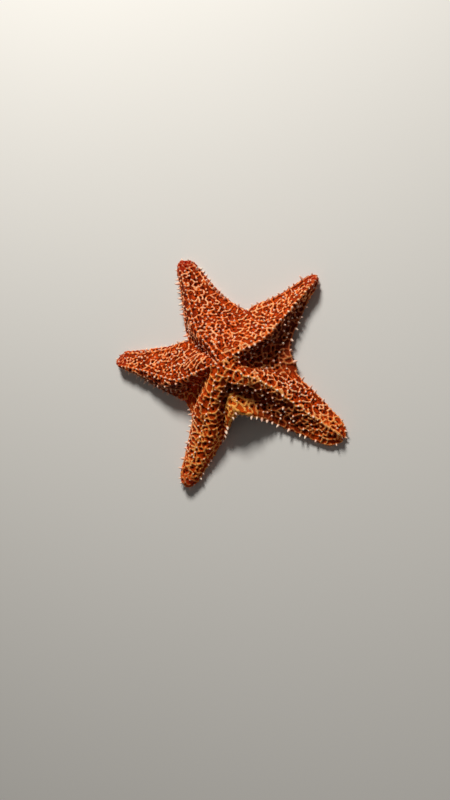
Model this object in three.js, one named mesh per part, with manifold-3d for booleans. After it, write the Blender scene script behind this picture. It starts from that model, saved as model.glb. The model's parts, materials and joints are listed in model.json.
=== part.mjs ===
// A five-armed cushion sea star, life size, resting on its arms with the middle of its underside arched up.
// Millimetres, +Z up. The origin is on the floor, below the middle of the star's bounding box.
// The body is one closed skin, parted by thin flat cuts into a five-sided central disc and five arms.
// Blunt spines stand along the margins and the keels, joined to the arm or disc that they grow from.

import * as THREE from "three";
import { ParametricGeometry } from "three/addons/geometries/ParametricGeometry.js";
import { mergeGeometries, mergeVertices } from "three/addons/utils/BufferGeometryUtils.js";
import Module from "manifold-3d";

// ---- Driving dimensions ----

const DISC = {
  height: 37, // thickness of the body at its middle
  summitShift: [2, -3], // how far the top of the disc leans over in plan
  lift: 6, // how far the arched underside clears the floor at the mouth
  liftRadius: 75, // the arms lie on the floor from here outwards
};
// Each arm: azimuth of its axis, reach from the middle of the body, distance of its joint with the disc,
// height of its keel against the other arms', sideways lean of its keel for each millimetre of height,
// half-widths where it leaves the disc on its counter-clockwise and clockwise sides, half-width near its tip,
// taper of its outline, and its two flanks. A flank runs down from the keel to the margin: crest is the width
// of its round top and drop how far out it has dropped to the margin, both as shares of the way out, and fill
// is how full it stays there.
const ARMS = [
  {
    name: "arm_back_right",
    azimuth: 45.2, reach: 117, joint: 55, rise: 1.18, lean: -0.46, base: [28, 32], tip: 6.5, taper: 1.55,
    flanks: [{ crest: 0.35, drop: 0.5, fill: 0.15 }, { crest: 0.12, drop: 0.55, fill: 0.3 }],
  },
  {
    name: "arm_back_left",
    azimuth: 115.3, reach: 117.5, joint: 50, rise: 1, lean: 0.42, base: [31, 34], tip: 9, taper: 1.5,
    flanks: [{ crest: 0.35, drop: 0.65, fill: 0.4 }, { crest: 0.35, drop: 0.5, fill: 0.15 }],
  },
  {
    name: "arm_left",
    azimuth: 174.7, reach: 123, joint: 55, rise: 1, lean: 0.8, base: [40, 21], tip: 7, taper: 1.4,
    flanks: [{ crest: 0.35, drop: 0.7, fill: 0.45 }, { crest: 0.35, drop: 0.55, fill: 0.25 }],
  },
  {
    name: "arm_front_left",
    azimuth: 248.6, reach: 128.5, joint: 56, rise: 1, lean: 0.1, base: [26, 18.5], tip: 8, taper: 1,
    flanks: [{ crest: 0.55, drop: 0.9, fill: 0.7 }, { crest: 0.55, drop: 0.9, fill: 0.7 }],
  },
  {
    name: "arm_front_right",
    azimuth: 326.3, reach: 130, joint: 62, rise: 1, lean: 0.25, base: [27, 31], tip: 9.5, taper: 0.8,
    flanks: [{ crest: 0.2, drop: 0.65, fill: 0.35 }, { crest: 0.12, drop: 0.5, fill: 0.25 }],
  },
];
// The notch between each arm and the next one counter-clockwise: azimuth and distance from the middle, the
// valley that runs down to it, as a flank, and how far along the arms the valley keeps its form. Between the
// two front arms the body is draped high, with its margin raised to a shelf.
const NOTCHES = [
  { azimuth: 70.1, radius: 55.5, valley: { crest: 0.35, drop: 0.6, fill: 0.25 }, spread: 0.35, shelf: 0 },
  { azimuth: 150, radius: 50.5, valley: { crest: 0.35, drop: 0.42, fill: 0.05 }, spread: 0.2, shelf: 0 },
  { azimuth: 213.7, radius: 60, valley: { crest: 0.35, drop: 0.34, fill: 0 }, spread: 0.2, shelf: 0 },
  { azimuth: 283.2, radius: 46.4, valley: { crest: 0.7, drop: 0.28, fill: -1.8 }, spread: 0.42, shelf: 20 },
  { azimuth: 359.5, radius: 63.7, valley: { crest: 0.35, drop: 0.3, fill: 0 }, spread: 0.16, shelf: 0 },
];
const ARCH = 0.72; // how far the underside rises below a shelf, as a share of the shelf
const KEEL = { end: 12, start: -0.25, finish: 1.08 }; // height near the tip, and the ends of its fall to it
const MARGIN = { top: 9, thinning: 0.35, inset: 1.6, settle: 0.08 };
const TIP = { outline: 11, keel: 9, middle: 4 }; // lengths over which a tip rounds off, and its height
const SOLE = { level: 1.4, mouthDepth: 4 };
const GROOVE = { half: 3.8, depth: 5, rim: 3.2, slope: 1.2 }; // the tube-foot groove along each arm
const SPINE = { radius: 1.5, tip: 0.6, root: 1.5, sides: 5 };
const MARGINAL = { spacing: 9.5, length: 4, rise: 0.35 };
const CARINAL = { count: 7, length: 2.8, first: 0, last: 0.88 };
const SIEVE = { radius: 3.2, dome: 1.2, sunk: 1.8, sides: 12, out: 2 }; // the madreporite, beside the summit
const MOUTH = { radius: 8, opening: 4.2, bottom: 7.6, top: 13.5, jaw: 1.8, sides: 15 };
const GAP = 0.3; // between pieces that meet
const JOINT_MARGIN = 8; // how far the flat cut at an arm's joint reaches past the arm's sides
const MESH = { across: 11, flank: 6 }; // section lines in a half arm, and steps down a flank

// ---- Small helpers ----

const UP = new THREE.Vector3(0, 0, 1);
const rad = THREE.MathUtils.degToRad;
const lerp = THREE.MathUtils.lerp;
const smooth = THREE.MathUtils.smoothstep; // (x, low, high)

// How much of its size a piece keeps as it rounds off over the last stretch before 1.
function roundOff(along, start) {
  const s = THREE.MathUtils.clamp((along - start) / (1 - start), 0, 1);
  return Math.sqrt(Math.max(0, 1 - s * s));
}

// ---- The body's surface ----

// One side of one arm, from its keel and axis out to its margin. side is 1 on the counter-clockwise side.
class HalfArm {
  constructor(index, side) {
    this.arm = ARMS[index];
    this.side = side;
    this.base = this.arm.base[side > 0 ? 0 : 1];
    this.flank = this.arm.flanks[side > 0 ? 0 : 1];
    this.notch = NOTCHES[side > 0 ? index : (index + 4) % 5];
    const apart = rad(((this.notch.azimuth - this.arm.azimuth) * side + 360) % 360);
    this.notchX = this.notch.radius * Math.cos(apart);
    this.notchY = this.notch.radius * Math.sin(apart);
    this.notchSpan = this.notch.radius * Math.sin(rad(36));
  }

  // Sizes and heights of the section line at u, from 0 at the notch to 1 at the tip.
  at(u) {
    const { reach, tip, taper } = this.arm;
    const length = reach - this.notchX;
    const cap = roundOff(u, 1 - TIP.outline / length);
    const keelCap = roundOff(u, 1 - TIP.keel / reach);
    const fromNotch = (this.notchY - this.base) * Math.exp(-u / MARGIN.settle);
    const width = (tip + (this.base - tip) * (1 - u) ** taper + fromNotch) * cap;
    const fall = (1 - smooth(u, KEEL.start, KEEL.finish)) / (1 - smooth(0, KEEL.start, KEEL.finish));
    const nearMouth = 1 - smooth(u, 0, 0.15);
    const raised = this.notch.shelf * (1 - smooth(u, 0, this.notch.spread));
    const rise = lerp(1, this.arm.rise, smooth(u, 0, 0.3));
    const grooveDepth = GROOVE.depth * (1 - smooth(u, 0.85, 0.97)) + SOLE.mouthDepth * nearMouth;
    return {
      cap,
      width,
      span: lerp(width, this.notchSpan, nearMouth),
      axisX: reach * u,
      edgeX: this.notchX + length * u,
      keel: lerp(TIP.middle, lerp(KEEL.end, DISC.height, fall) * rise, keelCap),
      marginTop: lerp(TIP.middle, MARGIN.top * (1 - MARGIN.thinning * u) + raised, cap),
      bottom: TIP.middle * (1 - cap),
      arch: ARCH * raised,
      roof: TIP.middle * (1 - keelCap) + grooveDepth * keelCap,
    };
  }

  // The corners of the section line at u, as [share of the way from the axis to the edge, height]: down the
  // flank, round the margin, and in along the sole to the rim, wall and roof of the groove.
  section(u) {
    const s = this.at(u);
    const onArm = smooth(u, 0, this.notch.spread);
    const edge = 1 - MARGIN.inset / Math.max(s.span, 6);
    const along = (key) => lerp(this.notch.valley[key], this.flank[key], onArm);
    const slope = new THREE.CubicBezierCurve(
      new THREE.Vector2(0, s.keel),
      new THREE.Vector2(along("crest") * edge, lerp(s.marginTop, s.keel, 0.97)),
      new THREE.Vector2(along("drop") * edge, lerp(s.marginTop, s.keel, along("fill"))),
      new THREE.Vector2(edge, s.marginTop),
    );
    const share = (distance) => (distance * Math.min(1, s.span / 12)) / Math.max(s.span, 0.5);
    const rimFoot = share(GROOVE.half + GROOVE.rim + GROOVE.slope);
    const sole = s.bottom + SOLE.level * s.cap;
    const outer = s.bottom + s.arch;
    return [
      ...slope.getPoints(MESH.flank).map((point) => [point.x, point.y]),
      [1, lerp(outer, s.marginTop, 0.68)],
      [1, lerp(outer, s.marginTop, 0.35)],
      [edge, sole + s.arch],
      [lerp(edge, rimFoot, 0.5), sole + 0.5 * s.arch],
      [rimFoot, sole],
      [share(GROOVE.half + GROOVE.rim), s.bottom],
      [share(GROOVE.half), s.bottom],
      [share(0.75 * GROOVE.half), lerp(s.bottom, s.roof, 0.7)],
      [0, s.roof],
    ];
  }

  // The point on the section line at u, the share v of the way from the axis to the edge, at a height. Its
  // keel leans over, the top of the disc moves sideways, and the middle of the body is arched off the floor.
  point(u, v, height, target = new THREE.Vector3()) {
    const { axisX, edgeX, width } = this.at(u);
    const onArm = smooth(u, 0, 0.45);
    target.set(lerp(axisX, edgeX, v), this.side * width * v + onArm * this.arm.lean * height, height);
    target.applyAxisAngle(UP, rad(this.arm.azimuth));
    const shift = ((1 - onArm) * height) / DISC.height;
    target.x += shift * DISC.summitShift[0];
    target.y += shift * DISC.summitShift[1];
    target.z += DISC.lift * (1 - smooth(Math.hypot(target.x, target.y), 10, DISC.liftRadius));
    return target;
  }

  // The patch of skin from the keel, over the margin, to the axis of the groove. Its section lines crowd
  // together at the notch and the tip, where the outline bends most.
  patch() {
    const crowded = (t) => t - Math.sin(2 * Math.PI * t) / (4 * Math.PI);
    const stations = Array.from({ length: MESH.across + 1 }, (_, i) => crowded(i / MESH.across));
    const lines = stations.map((u) => this.section(u));
    const steps = lines[0].length - 1;
    const place = (across, down, target) => {
      const line = Math.round(across * MESH.across);
      const [v, height] = lines[line][Math.round(down * steps)];
      this.point(stations[line], v, height, target);
    };
    const geometry = new ParametricGeometry(place, MESH.across, steps);
    if (this.side < 0) geometry.index.array.reverse();
    return geometry;
  }
}

const halves = ARMS.flatMap((_, index) => [new HalfArm(index, 1), new HalfArm(index, -1)]);

// ---- Solids ----

const wasm = await Module();
wasm.setup();

// A closed three.js geometry as a manifold-3d solid, without the triangles that have shrunk to a line.
function solid(geometry) {
  const bare = geometry.clone();
  bare.deleteAttribute("normal");
  bare.deleteAttribute("uv");
  const merged = mergeVertices(bare, 1e-3);
  const triangles = [];
  for (let i = 0; i < merged.index.count; i += 3) {
    const corners = [0, 1, 2].map((k) => merged.index.getX(i + k));
    if (new Set(corners).size === 3) triangles.push(...corners);
  }
  const mesh = new wasm.Mesh({
    numProp: 3,
    vertProperties: merged.attributes.position.array,
    triVerts: new Uint32Array(triangles),
  });
  return new wasm.Manifold(mesh);
}

// A manifold-3d solid as a named three.js mesh.
function meshOf(name, body, material) {
  const { vertProperties, triVerts } = body.getMesh();
  const geometry = new THREE.BufferGeometry();
  geometry.setAttribute("position", new THREE.BufferAttribute(vertProperties, 3));
  geometry.setIndex(new THREE.BufferAttribute(triVerts, 1));
  geometry.computeVertexNormals();
  const mesh = new THREE.Mesh(geometry, material);
  mesh.name = name;
  return mesh;
}

// A geometry that was made round the Z axis, stood on a foot with its axis along a direction.
function stand(geometry, foot, direction) {
  geometry.applyQuaternion(new THREE.Quaternion().setFromUnitVectors(UP, direction));
  return solid(geometry.translate(foot.x, foot.y, foot.z));
}

// ---- Spines ----

// A blunt spine on a point of the skin, its root sunk below it.
function spine({ foot, direction, length }) {
  const { radius, tip, root, sides } = SPINE;
  const cone = new THREE.CylinderGeometry(tip, radius, length + root, sides, 1);
  return stand(cone.rotateX(Math.PI / 2).translate(0, 0, (length - root) / 2), foot, direction);
}

// Where spines stand along the margin of a half arm, evenly spaced from its notch to its tip.
function marginalSpines(half) {
  const curve = new THREE.Curve();
  curve.getPoint = (t, target) => {
    const u = lerp(0.02, 0.985, t);
    const { span, bottom, arch, marginTop } = half.at(u);
    const height = lerp(bottom + arch, marginTop, 0.84);
    return half.point(u, 1 - MARGIN.inset / 2 / Math.max(span, 6), height, target);
  };
  const count = Math.round(curve.getLength() / MARGINAL.spacing);
  return Array.from({ length: count }, (_, i) => {
    const along = (i + 0.5) / count;
    const outward = curve.getTangentAt(along).cross(UP).multiplyScalar(-half.side);
    const direction = outward.setZ(MARGINAL.rise).normalize();
    return { foot: curve.getPointAt(along), direction, length: MARGINAL.length };
  });
}

// Where spines stand along the keel of an arm.
function keelSpines(half) {
  const { count, first, last, length } = CARINAL;
  return Array.from({ length: count }, (_, i) => {
    const u = lerp(first, last, i / (count - 1));
    return { foot: half.point(u, 0, half.at(u).keel), direction: UP, length };
  });
}

// Whether a spine stands clear of every joint between the disc and an arm, from its root to its tip.
function clearOfJoints({ foot, direction, length }) {
  const ends = [-SPINE.root, length].map((along) => foot.clone().addScaledVector(direction, along));
  return ARMS.every((arm) => {
    const [root, top] = ends.map((end) => end.applyAxisAngle(UP, -rad(arm.azimuth)));
    const beside = root.y > arm.base[0] + JOINT_MARGIN || root.y < -arm.base[1] - JOINT_MARGIN;
    const before = Math.max(root.x, top.x) < arm.joint - SPINE.radius;
    const behind = Math.min(root.x, top.x) > arm.joint + SPINE.radius;
    ends.forEach((end) => end.applyAxisAngle(UP, rad(arm.azimuth)));
    return beside || before || behind;
  });
}

// ---- Sieve plate and mouth ----

// The sieve plate: a low dome on a round stub, grown by a clearance to cut the pocket that it sits in. It
// stands on the first corners of the section that runs down from the summit between the two back arms.
function sieve(clearance) {
  const { radius, dome, sunk, sides, out } = SIEVE;
  const top = dome + 4 * clearance;
  const profile = [
    new THREE.Vector2(0, -sunk - clearance),
    new THREE.Vector2(radius + clearance, -sunk - clearance),
    new THREE.Vector2(radius + clearance, 0.3 * top),
    new THREE.Vector2(0.6 * radius, top),
    new THREE.Vector2(0, top),
  ];
  const plate = new THREE.LatheGeometry(profile, sides).rotateX(Math.PI / 2);
  const corners = halves[0].section(0).slice(out - 1, out + 1);
  const [above, below] = corners.map(([v, height]) => halves[0].point(0, v, height));
  const slope = below.clone().sub(above);
  const across = new THREE.Vector3().crossVectors(slope, UP);
  return stand(plate, above.clone().lerp(below, 0.5), across.cross(slope).normalize());
}

// The ring of the mouth, with a jaw pointing in below each notch.
function mouthRing() {
  const { radius, opening, bottom, top, jaw, sides } = MOUTH;
  const profile = [
    new THREE.Vector2(opening, bottom),
    new THREE.Vector2(radius, bottom),
    new THREE.Vector2(radius, top),
    new THREE.Vector2(opening, top),
    new THREE.Vector2(opening, bottom),
  ];
  const ring = solid(new THREE.LatheGeometry(profile, sides).rotateX(Math.PI / 2));
  const jaws = NOTCHES.map((notch) => {
    const cone = new THREE.ConeGeometry(jaw, opening, 5).rotateZ(Math.PI / 2);
    return solid(cone.translate(0.65 * opening, 0, bottom + jaw).rotateZ(rad(notch.azimuth)));
  });
  return wasm.Manifold.union([ring, ...jaws]);
}

// The round pocket in the underside of the disc that the mouth sits in.
function mouthPocket() {
  const height = MOUTH.top + GAP;
  const pocket = new THREE.CylinderGeometry(MOUTH.radius + GAP, MOUTH.radius + GAP, height, MOUTH.sides);
  return solid(pocket.rotateX(Math.PI / 2).translate(0, 0, height / 2));
}

// ---- The named parts ----

// Everything beyond an arm's joint, moved along the arm's axis by an offset.
function beyond(arm, offset) {
  const [left, right] = arm.base;
  const block = new THREE.BoxGeometry(100, left + right + 2 * JOINT_MARGIN, 100);
  block.translate(50 + arm.joint + offset, (left - right) / 2, 30);
  return solid(block.rotateZ(rad(arm.azimuth)));
}

const places = [
  ...halves.flatMap(marginalSpines),
  ...halves.filter((half) => half.side > 0).flatMap(keelSpines),
].filter(clearOfJoints);
const skin = solid(mergeGeometries(halves.map((half) => half.patch())));
const body = wasm.Manifold.union([skin, ...places.map(spine)]);

const matte = (color) => new THREE.MeshStandardMaterial({ color, roughness: 0.75, metalness: 0 });
const skinFinish = matte(0xc8421a);

const group = new THREE.Group();
let disc = body.subtract(sieve(GAP)).subtract(mouthPocket());
for (const arm of ARMS) {
  group.add(meshOf(arm.name, body.intersect(beyond(arm, GAP / 2)), skinFinish));
  disc = disc.subtract(beyond(arm, -GAP / 2));
}
group.add(meshOf("disc", disc, skinFinish));
group.add(meshOf("madreporite", sieve(0), matte(0xcf753d)));
group.add(meshOf("mouth", mouthRing(), matte(0xe3b184)));

const middle = new THREE.Box3().setFromObject(group).getCenter(new THREE.Vector3());
group.position.set(-middle.x, -middle.y, 0);

export default group;
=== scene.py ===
"""Dresses a five-armed cushion sea star as a still, life-size museum model.

One skin with a raised net stands for the disc and the arms. Tubercles, spines, granules and tube feet grow
from it, and a sieve plate and a mouth are set into it. Everything is in metres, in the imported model's
frame: +Z is up, and the sea star rests on the floor at z = 0.
"""

import json
import logging
import math
from collections.abc import Iterable, Sequence
from dataclasses import dataclass, field
from enum import Enum

import bmesh
import bpy
import numpy as np
from mathutils import Matrix, Vector
from mathutils.kdtree import KDTree

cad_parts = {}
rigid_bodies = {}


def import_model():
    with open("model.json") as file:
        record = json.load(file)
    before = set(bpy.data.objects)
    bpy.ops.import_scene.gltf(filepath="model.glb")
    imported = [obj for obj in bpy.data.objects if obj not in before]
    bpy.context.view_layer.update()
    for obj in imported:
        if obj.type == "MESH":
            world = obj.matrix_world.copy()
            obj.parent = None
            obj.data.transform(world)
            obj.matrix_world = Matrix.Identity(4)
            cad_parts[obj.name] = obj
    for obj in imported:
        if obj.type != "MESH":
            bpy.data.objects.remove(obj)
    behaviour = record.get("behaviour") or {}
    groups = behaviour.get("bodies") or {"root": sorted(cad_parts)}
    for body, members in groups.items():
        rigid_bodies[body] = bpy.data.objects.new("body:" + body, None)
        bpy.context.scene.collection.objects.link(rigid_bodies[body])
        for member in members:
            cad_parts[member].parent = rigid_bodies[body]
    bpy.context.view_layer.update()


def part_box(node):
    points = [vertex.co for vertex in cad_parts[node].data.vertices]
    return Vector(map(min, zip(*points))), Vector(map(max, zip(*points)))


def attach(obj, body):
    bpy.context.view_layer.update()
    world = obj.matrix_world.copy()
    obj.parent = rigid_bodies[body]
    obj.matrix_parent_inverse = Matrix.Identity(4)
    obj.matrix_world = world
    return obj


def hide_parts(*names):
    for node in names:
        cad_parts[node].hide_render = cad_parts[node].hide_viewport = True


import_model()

LOG = logging.getLogger("sea_star")
MM = 0.001
BODY = "root"
BAKE_MAP = "OFBake"
BAKE_PATCH = 0.003
CLEARANCE = 0.05 * MM
FLESH_NODES = (
    "disc",
    "arm_back_right",
    "arm_back_left",
    "arm_left",
    "arm_front_left",
    "arm_front_right",
)

Colour = tuple[float, float, float, float]
Values = float | np.ndarray


class Slot(Enum):
    """The record's material slots."""

    SKIN = "skin"
    SIEVE_PLATE = "sieve_plate"
    MOUTH_SKIN = "mouth_skin"


# ---- Small helpers ----


def smooth_step(x: Values, low: float, high: float) -> Values:
    """Gives 0 below low, 1 above high and an S-curve between them.

    Args:
        x: The values to grade.
        low: Where the curve leaves 0.
        high: Where the curve reaches 1.

    Returns:
        The graded values.
    """
    t = np.clip((x - low) / (high - low), 0.0, 1.0)
    return t * t * (3.0 - 2.0 * t)


def mixed(a: Values, b: Values, t: Values) -> Values:
    """Gives the value the share t of the way from a to b."""
    return a + (b - a) * t


def round_off(along: np.ndarray, start: float) -> np.ndarray:
    """Gives how much of its size a piece keeps as it rounds off over the last stretch before 1.

    Args:
        along: How far along the piece, from 0 to 1.
        start: Where the rounding starts.

    Returns:
        The share of the size, from 1 down to 0.
    """
    s = np.clip((along - start) / (1.0 - start), 0.0, 1.0)
    return np.sqrt(np.maximum(0.0, 1.0 - s * s))


def unit(vectors: np.ndarray) -> np.ndarray:
    """Scales each row to a length of 1."""
    return vectors / np.maximum(np.linalg.norm(vectors, axis=-1, keepdims=True), 1e-12)


def tree_of(points: np.ndarray) -> KDTree:
    """Builds a search tree over points.

    Args:
        points: One point in each row.

    Returns:
        The balanced tree, with the row numbers as its indices.
    """
    tree = KDTree(len(points))
    for index, point in enumerate(points.tolist()):
        tree.insert(point, index)
    tree.balance()
    return tree


def nearest(tree: KDTree, points: np.ndarray) -> tuple[np.ndarray, np.ndarray]:
    """Finds the tree's nearest point to each of some points.

    Args:
        tree: The tree to search.
        points: One point in each row.

    Returns:
        The index of each nearest point, and its distance.
    """
    found = [tree.find(point) for point in points.tolist()]
    return np.array([hit[1] for hit in found], int), np.array([hit[2] for hit in found], float)


def run_along(line: np.ndarray) -> np.ndarray:
    """Gives how far each point of a line, one in each row, lies from its start along it."""
    return np.concatenate([[0.0], np.cumsum(np.linalg.norm(np.diff(line, axis=0), axis=1))])


def paced(line: np.ndarray, pace: float) -> np.ndarray:
    """Paces out a line of points.

    Args:
        line: The line's points, one in each row.
        pace: The distance between places.

    Returns:
        The places, as numbers of points with a share of the way to the next.
    """
    gone = run_along(line)
    return np.interp(np.arange(pace / 2, gone[-1], pace), gone, np.arange(len(line)))


def between(line: np.ndarray, places: np.ndarray) -> np.ndarray:
    """Gives the points of a line at places that paced gave, one in each row."""
    return np.stack([np.interp(places, np.arange(len(line)), axis) for axis in line.T], axis=1)


def positions_of(mesh: bpy.types.Mesh) -> np.ndarray:
    """Gives a mesh's vertex positions, one in each row."""
    flat = np.empty(len(mesh.vertices) * 3, np.float32)
    mesh.vertices.foreach_get("co", flat)
    return flat.reshape(-1, 3).astype(float)


def normals_of(mesh: bpy.types.Mesh) -> np.ndarray:
    """Gives a mesh's vertex normals, one in each row."""
    flat = np.empty(len(mesh.vertices) * 3, np.float32)
    mesh.vertex_normals.foreach_get("vector", flat)
    return flat.reshape(-1, 3).astype(float)


def move_to(mesh: bpy.types.Mesh, points: np.ndarray) -> None:
    """Moves a mesh's vertices to new positions."""
    mesh.vertices.foreach_set("co", points.astype(np.float32).ravel())
    mesh.update()


def mark(mesh: bpy.types.Mesh, name: str, values: np.ndarray) -> None:
    """Writes a value on each vertex of a mesh, for its material to read.

    Args:
        mesh: The mesh to mark.
        name: The attribute's name.
        values: One value for each vertex.
    """
    attribute = mesh.attributes.new(name, "FLOAT", "POINT")
    attribute.data.foreach_set("value", values.astype(np.float32))


def mesh_from(build: bmesh.types.BMesh, name: str) -> bpy.types.Mesh:
    """Turns a bmesh into a mesh, smooth shaded, and frees it.

    Args:
        build: The bmesh.
        name: The mesh's name.

    Returns:
        The new mesh.
    """
    mesh = bpy.data.meshes.new(name)
    build.to_mesh(mesh)
    build.free()
    mesh.shade_smooth()
    return mesh


def shown(name: str, mesh: bpy.types.Mesh) -> bpy.types.Object:
    """Puts a mesh in the scene as an object at the origin."""
    piece = bpy.data.objects.new(name, mesh)
    bpy.context.scene.collection.objects.link(piece)
    return piece


def applied(piece: bpy.types.Object) -> bpy.types.Mesh:
    """Gives an object's mesh with its modifiers applied, and takes the object out of the scene."""
    ready = piece.evaluated_get(bpy.context.evaluated_depsgraph_get())
    mesh = bpy.data.meshes.new_from_object(ready)
    bpy.data.objects.remove(piece)
    return mesh


def finished(
    name: str, mesh: bpy.types.Mesh, material: bpy.types.Material
) -> bpy.types.Object:
    """Puts a piece in the scene, dresses it and makes it ride on the sea star.

    Args:
        name: The piece's name.
        mesh: Its mesh, with its place in it.
        material: Its finish.

    Returns:
        The piece.
    """
    piece = shown(name, mesh)
    mesh.materials.clear()
    mesh.materials.append(material)
    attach(piece, BODY)
    LOG.info("%s: %d faces", name, len(mesh.polygons))
    return piece


# ---- The body's form ----


@dataclass(frozen=True)
class Flank:
    """How a section line runs down from the keel to the margin.

    crest is the width of its round top, and drop how far out it has dropped to the margin, both as shares of
    the way out. fill is how full it stays there. The last two say how much its net is darkened by painted
    shade, standing in for the shade on a flank that faces away from the light, and how much less yellow it
    is, both from 0 to 1.
    """

    crest: float
    drop: float
    fill: float
    # Painted shade: how much darker the net is painted on this flank, which faces away from the light.
    painted_shade: float = 0.0
    red: float = 0.0


@dataclass(frozen=True)
class Arm:
    """One arm, in millimetres and degrees.

    base holds its half-widths at the disc on its counter-clockwise and clockwise sides, and flanks its two
    flanks there. rise is its keel's height against the other arms', and lean how far its keel leans sideways
    for each millimetre of height. gold is how yellow the net is on it, from 0 for pink to 1, and blush how
    dark red its tip is.
    """

    azimuth: float
    reach: float
    rise: float
    lean: float
    base: tuple[float, float]
    tip: float
    taper: float
    flanks: tuple[Flank, Flank]
    gold: float
    blush: float


@dataclass(frozen=True)
class Notch:
    """The notch between two arms, in millimetres and degrees, and the valley that runs down to it.

    spread is how far along the arms the valley keeps its form, and shelf how far its margin is raised. rim is
    how much that margin is painted yellower and lighter, from 0 to 1: partly its own yellow, partly painted
    light that lifts the shelf out of the shade cast on it.
    """

    azimuth: float
    radius: float
    valley: Flank
    spread: float
    shelf: float = 0.0
    # Partly the margin's own yellow, partly painted light on the raised shelf.
    rim: float = 0.0


ARMS = (
    Arm(
        azimuth=45.2, reach=117.0, rise=1.18, lean=-0.46, base=(28.0, 32.0), tip=6.5, taper=1.55,
        flanks=(Flank(0.35, 0.5, 0.15), Flank(0.12, 0.55, 0.3, painted_shade=0.8)), gold=0.4, blush=0.7,
    ),
    Arm(
        azimuth=115.3, reach=117.5, rise=1.0, lean=0.42, base=(31.0, 34.0), tip=9.0, taper=1.5,
        flanks=(Flank(0.35, 0.65, 0.4), Flank(0.35, 0.5, 0.15)), gold=0.1, blush=0.9,
    ),
    Arm(
        azimuth=174.7, reach=123.0, rise=1.0, lean=0.8, base=(40.0, 21.0), tip=7.0, taper=1.4,
        flanks=(Flank(0.35, 0.7, 0.45, painted_shade=0.7), Flank(0.35, 0.55, 0.25)), gold=0.3, blush=0.8,
    ),
    Arm(
        azimuth=248.6, reach=128.5, rise=1.0, lean=0.1, base=(26.0, 18.5), tip=8.0, taper=1.0,
        flanks=(Flank(0.55, 0.9, 0.7), Flank(0.55, 0.9, 0.7, red=0.5)),
        gold=0.95, blush=0.75,
    ),
    Arm(
        azimuth=326.3, reach=130.0, rise=1.0, lean=0.25, base=(27.0, 31.0), tip=9.5, taper=0.8,
        flanks=(Flank(0.2, 0.65, 0.35, red=0.75), Flank(0.12, 0.5, 0.25, painted_shade=0.6)),
        gold=0.8, blush=0.2,
    ),
)
# The notch after each arm, going counter-clockwise.
NOTCHES = (
    Notch(70.1, 55.5, Flank(0.35, 0.6, 0.25), spread=0.35),
    Notch(150.0, 50.5, Flank(0.35, 0.42, 0.05), spread=0.2),
    Notch(213.7, 60.0, Flank(0.35, 0.34, 0.0), spread=0.2),
    # The valley above this raised shelf has full painted shade on its net, for the hollow in shade there, and
    # its margin has painted light.
    Notch(283.2, 46.4, Flank(0.7, 0.28, -1.8, painted_shade=1.0), spread=0.42, shelf=20.0, rim=1.0),
    Notch(359.5, 63.7, Flank(0.35, 0.3, 0.0, painted_shade=0.6), spread=0.16),
)


@dataclass(frozen=True)
class Build:
    """Sizes that all arms and the disc share, in millimetres, or shares of an arm's length or a height.

    The whole body is arched by lift, in full within the first of its radii and not at all past the second.
    The keel falls from keel_start to keel_finish. crest_level is how high the edge of its round top is kept,
    and margin_levels those of the margin's two corners. groove_close is where the groove ends, and
    groove_shoulder how far out and how high its walls bend; it narrows with the arm where that is less than
    narrow. disc_reach, rise_reach and mouth_reach are how far along an arm the disc, the arms' shared height
    and the hollow round the mouth are felt.
    """

    height: float = 37.0
    summit_shift: tuple[float, float] = (2.0, -3.0)
    lift: float = 6.0
    lift_radii: tuple[float, float] = (10.0, 75.0)
    keel_end: float = 12.0
    keel_start: float = -0.25
    keel_finish: float = 1.08
    margin_top: float = 9.0
    margin_thinning: float = 0.35
    margin_inset: float = 1.6
    margin_settle: float = 0.08
    tip_outline: float = 11.0
    tip_keel: float = 9.0
    tip_middle: float = 4.0
    narrow: float = 12.0
    narrowest: float = 6.0
    sole: float = 1.4
    mouth_depth: float = 4.0
    groove_half: float = 3.8
    groove_depth: float = 5.0
    groove_rim: float = 3.2
    groove_slope: float = 1.2
    groove_close: tuple[float, float] = (0.85, 0.97)
    groove_shoulder: tuple[float, float] = (0.75, 0.7)
    crest_level: float = 0.97
    margin_levels: tuple[float, float] = (0.68, 0.35)
    arms_apart: float = 72.0
    arch: float = 0.72
    mouth_reach: float = 0.15
    rise_reach: float = 0.3
    disc_reach: float = 0.45


BUILD = Build()


@dataclass(frozen=True)
class Course:
    """Which points of a section line things keep to, counted from the keel down and under to the groove.

    Each end comes after the last point of what it names. edge is where the flank turns into the margin. glow
    holds where a notch's margin, painted yellower and with painted light, fades in and out, and sole where
    the underside's skin starts.
    """

    glow: tuple[int, int, int, int] = (15, 18, 27, 32)
    shelf_row: int = 18
    pits_end: int = 22
    edge: int = 24
    upper_row: int = 25
    field_end: int = 32
    lower_row: int = 33
    sole: tuple[int, int] = (36, 42)
    net_end: int = 40
    rim_spines: int = 45
    groove_spines: int = 50
    tube_feet: int = 56


COURSE = Course()


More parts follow.
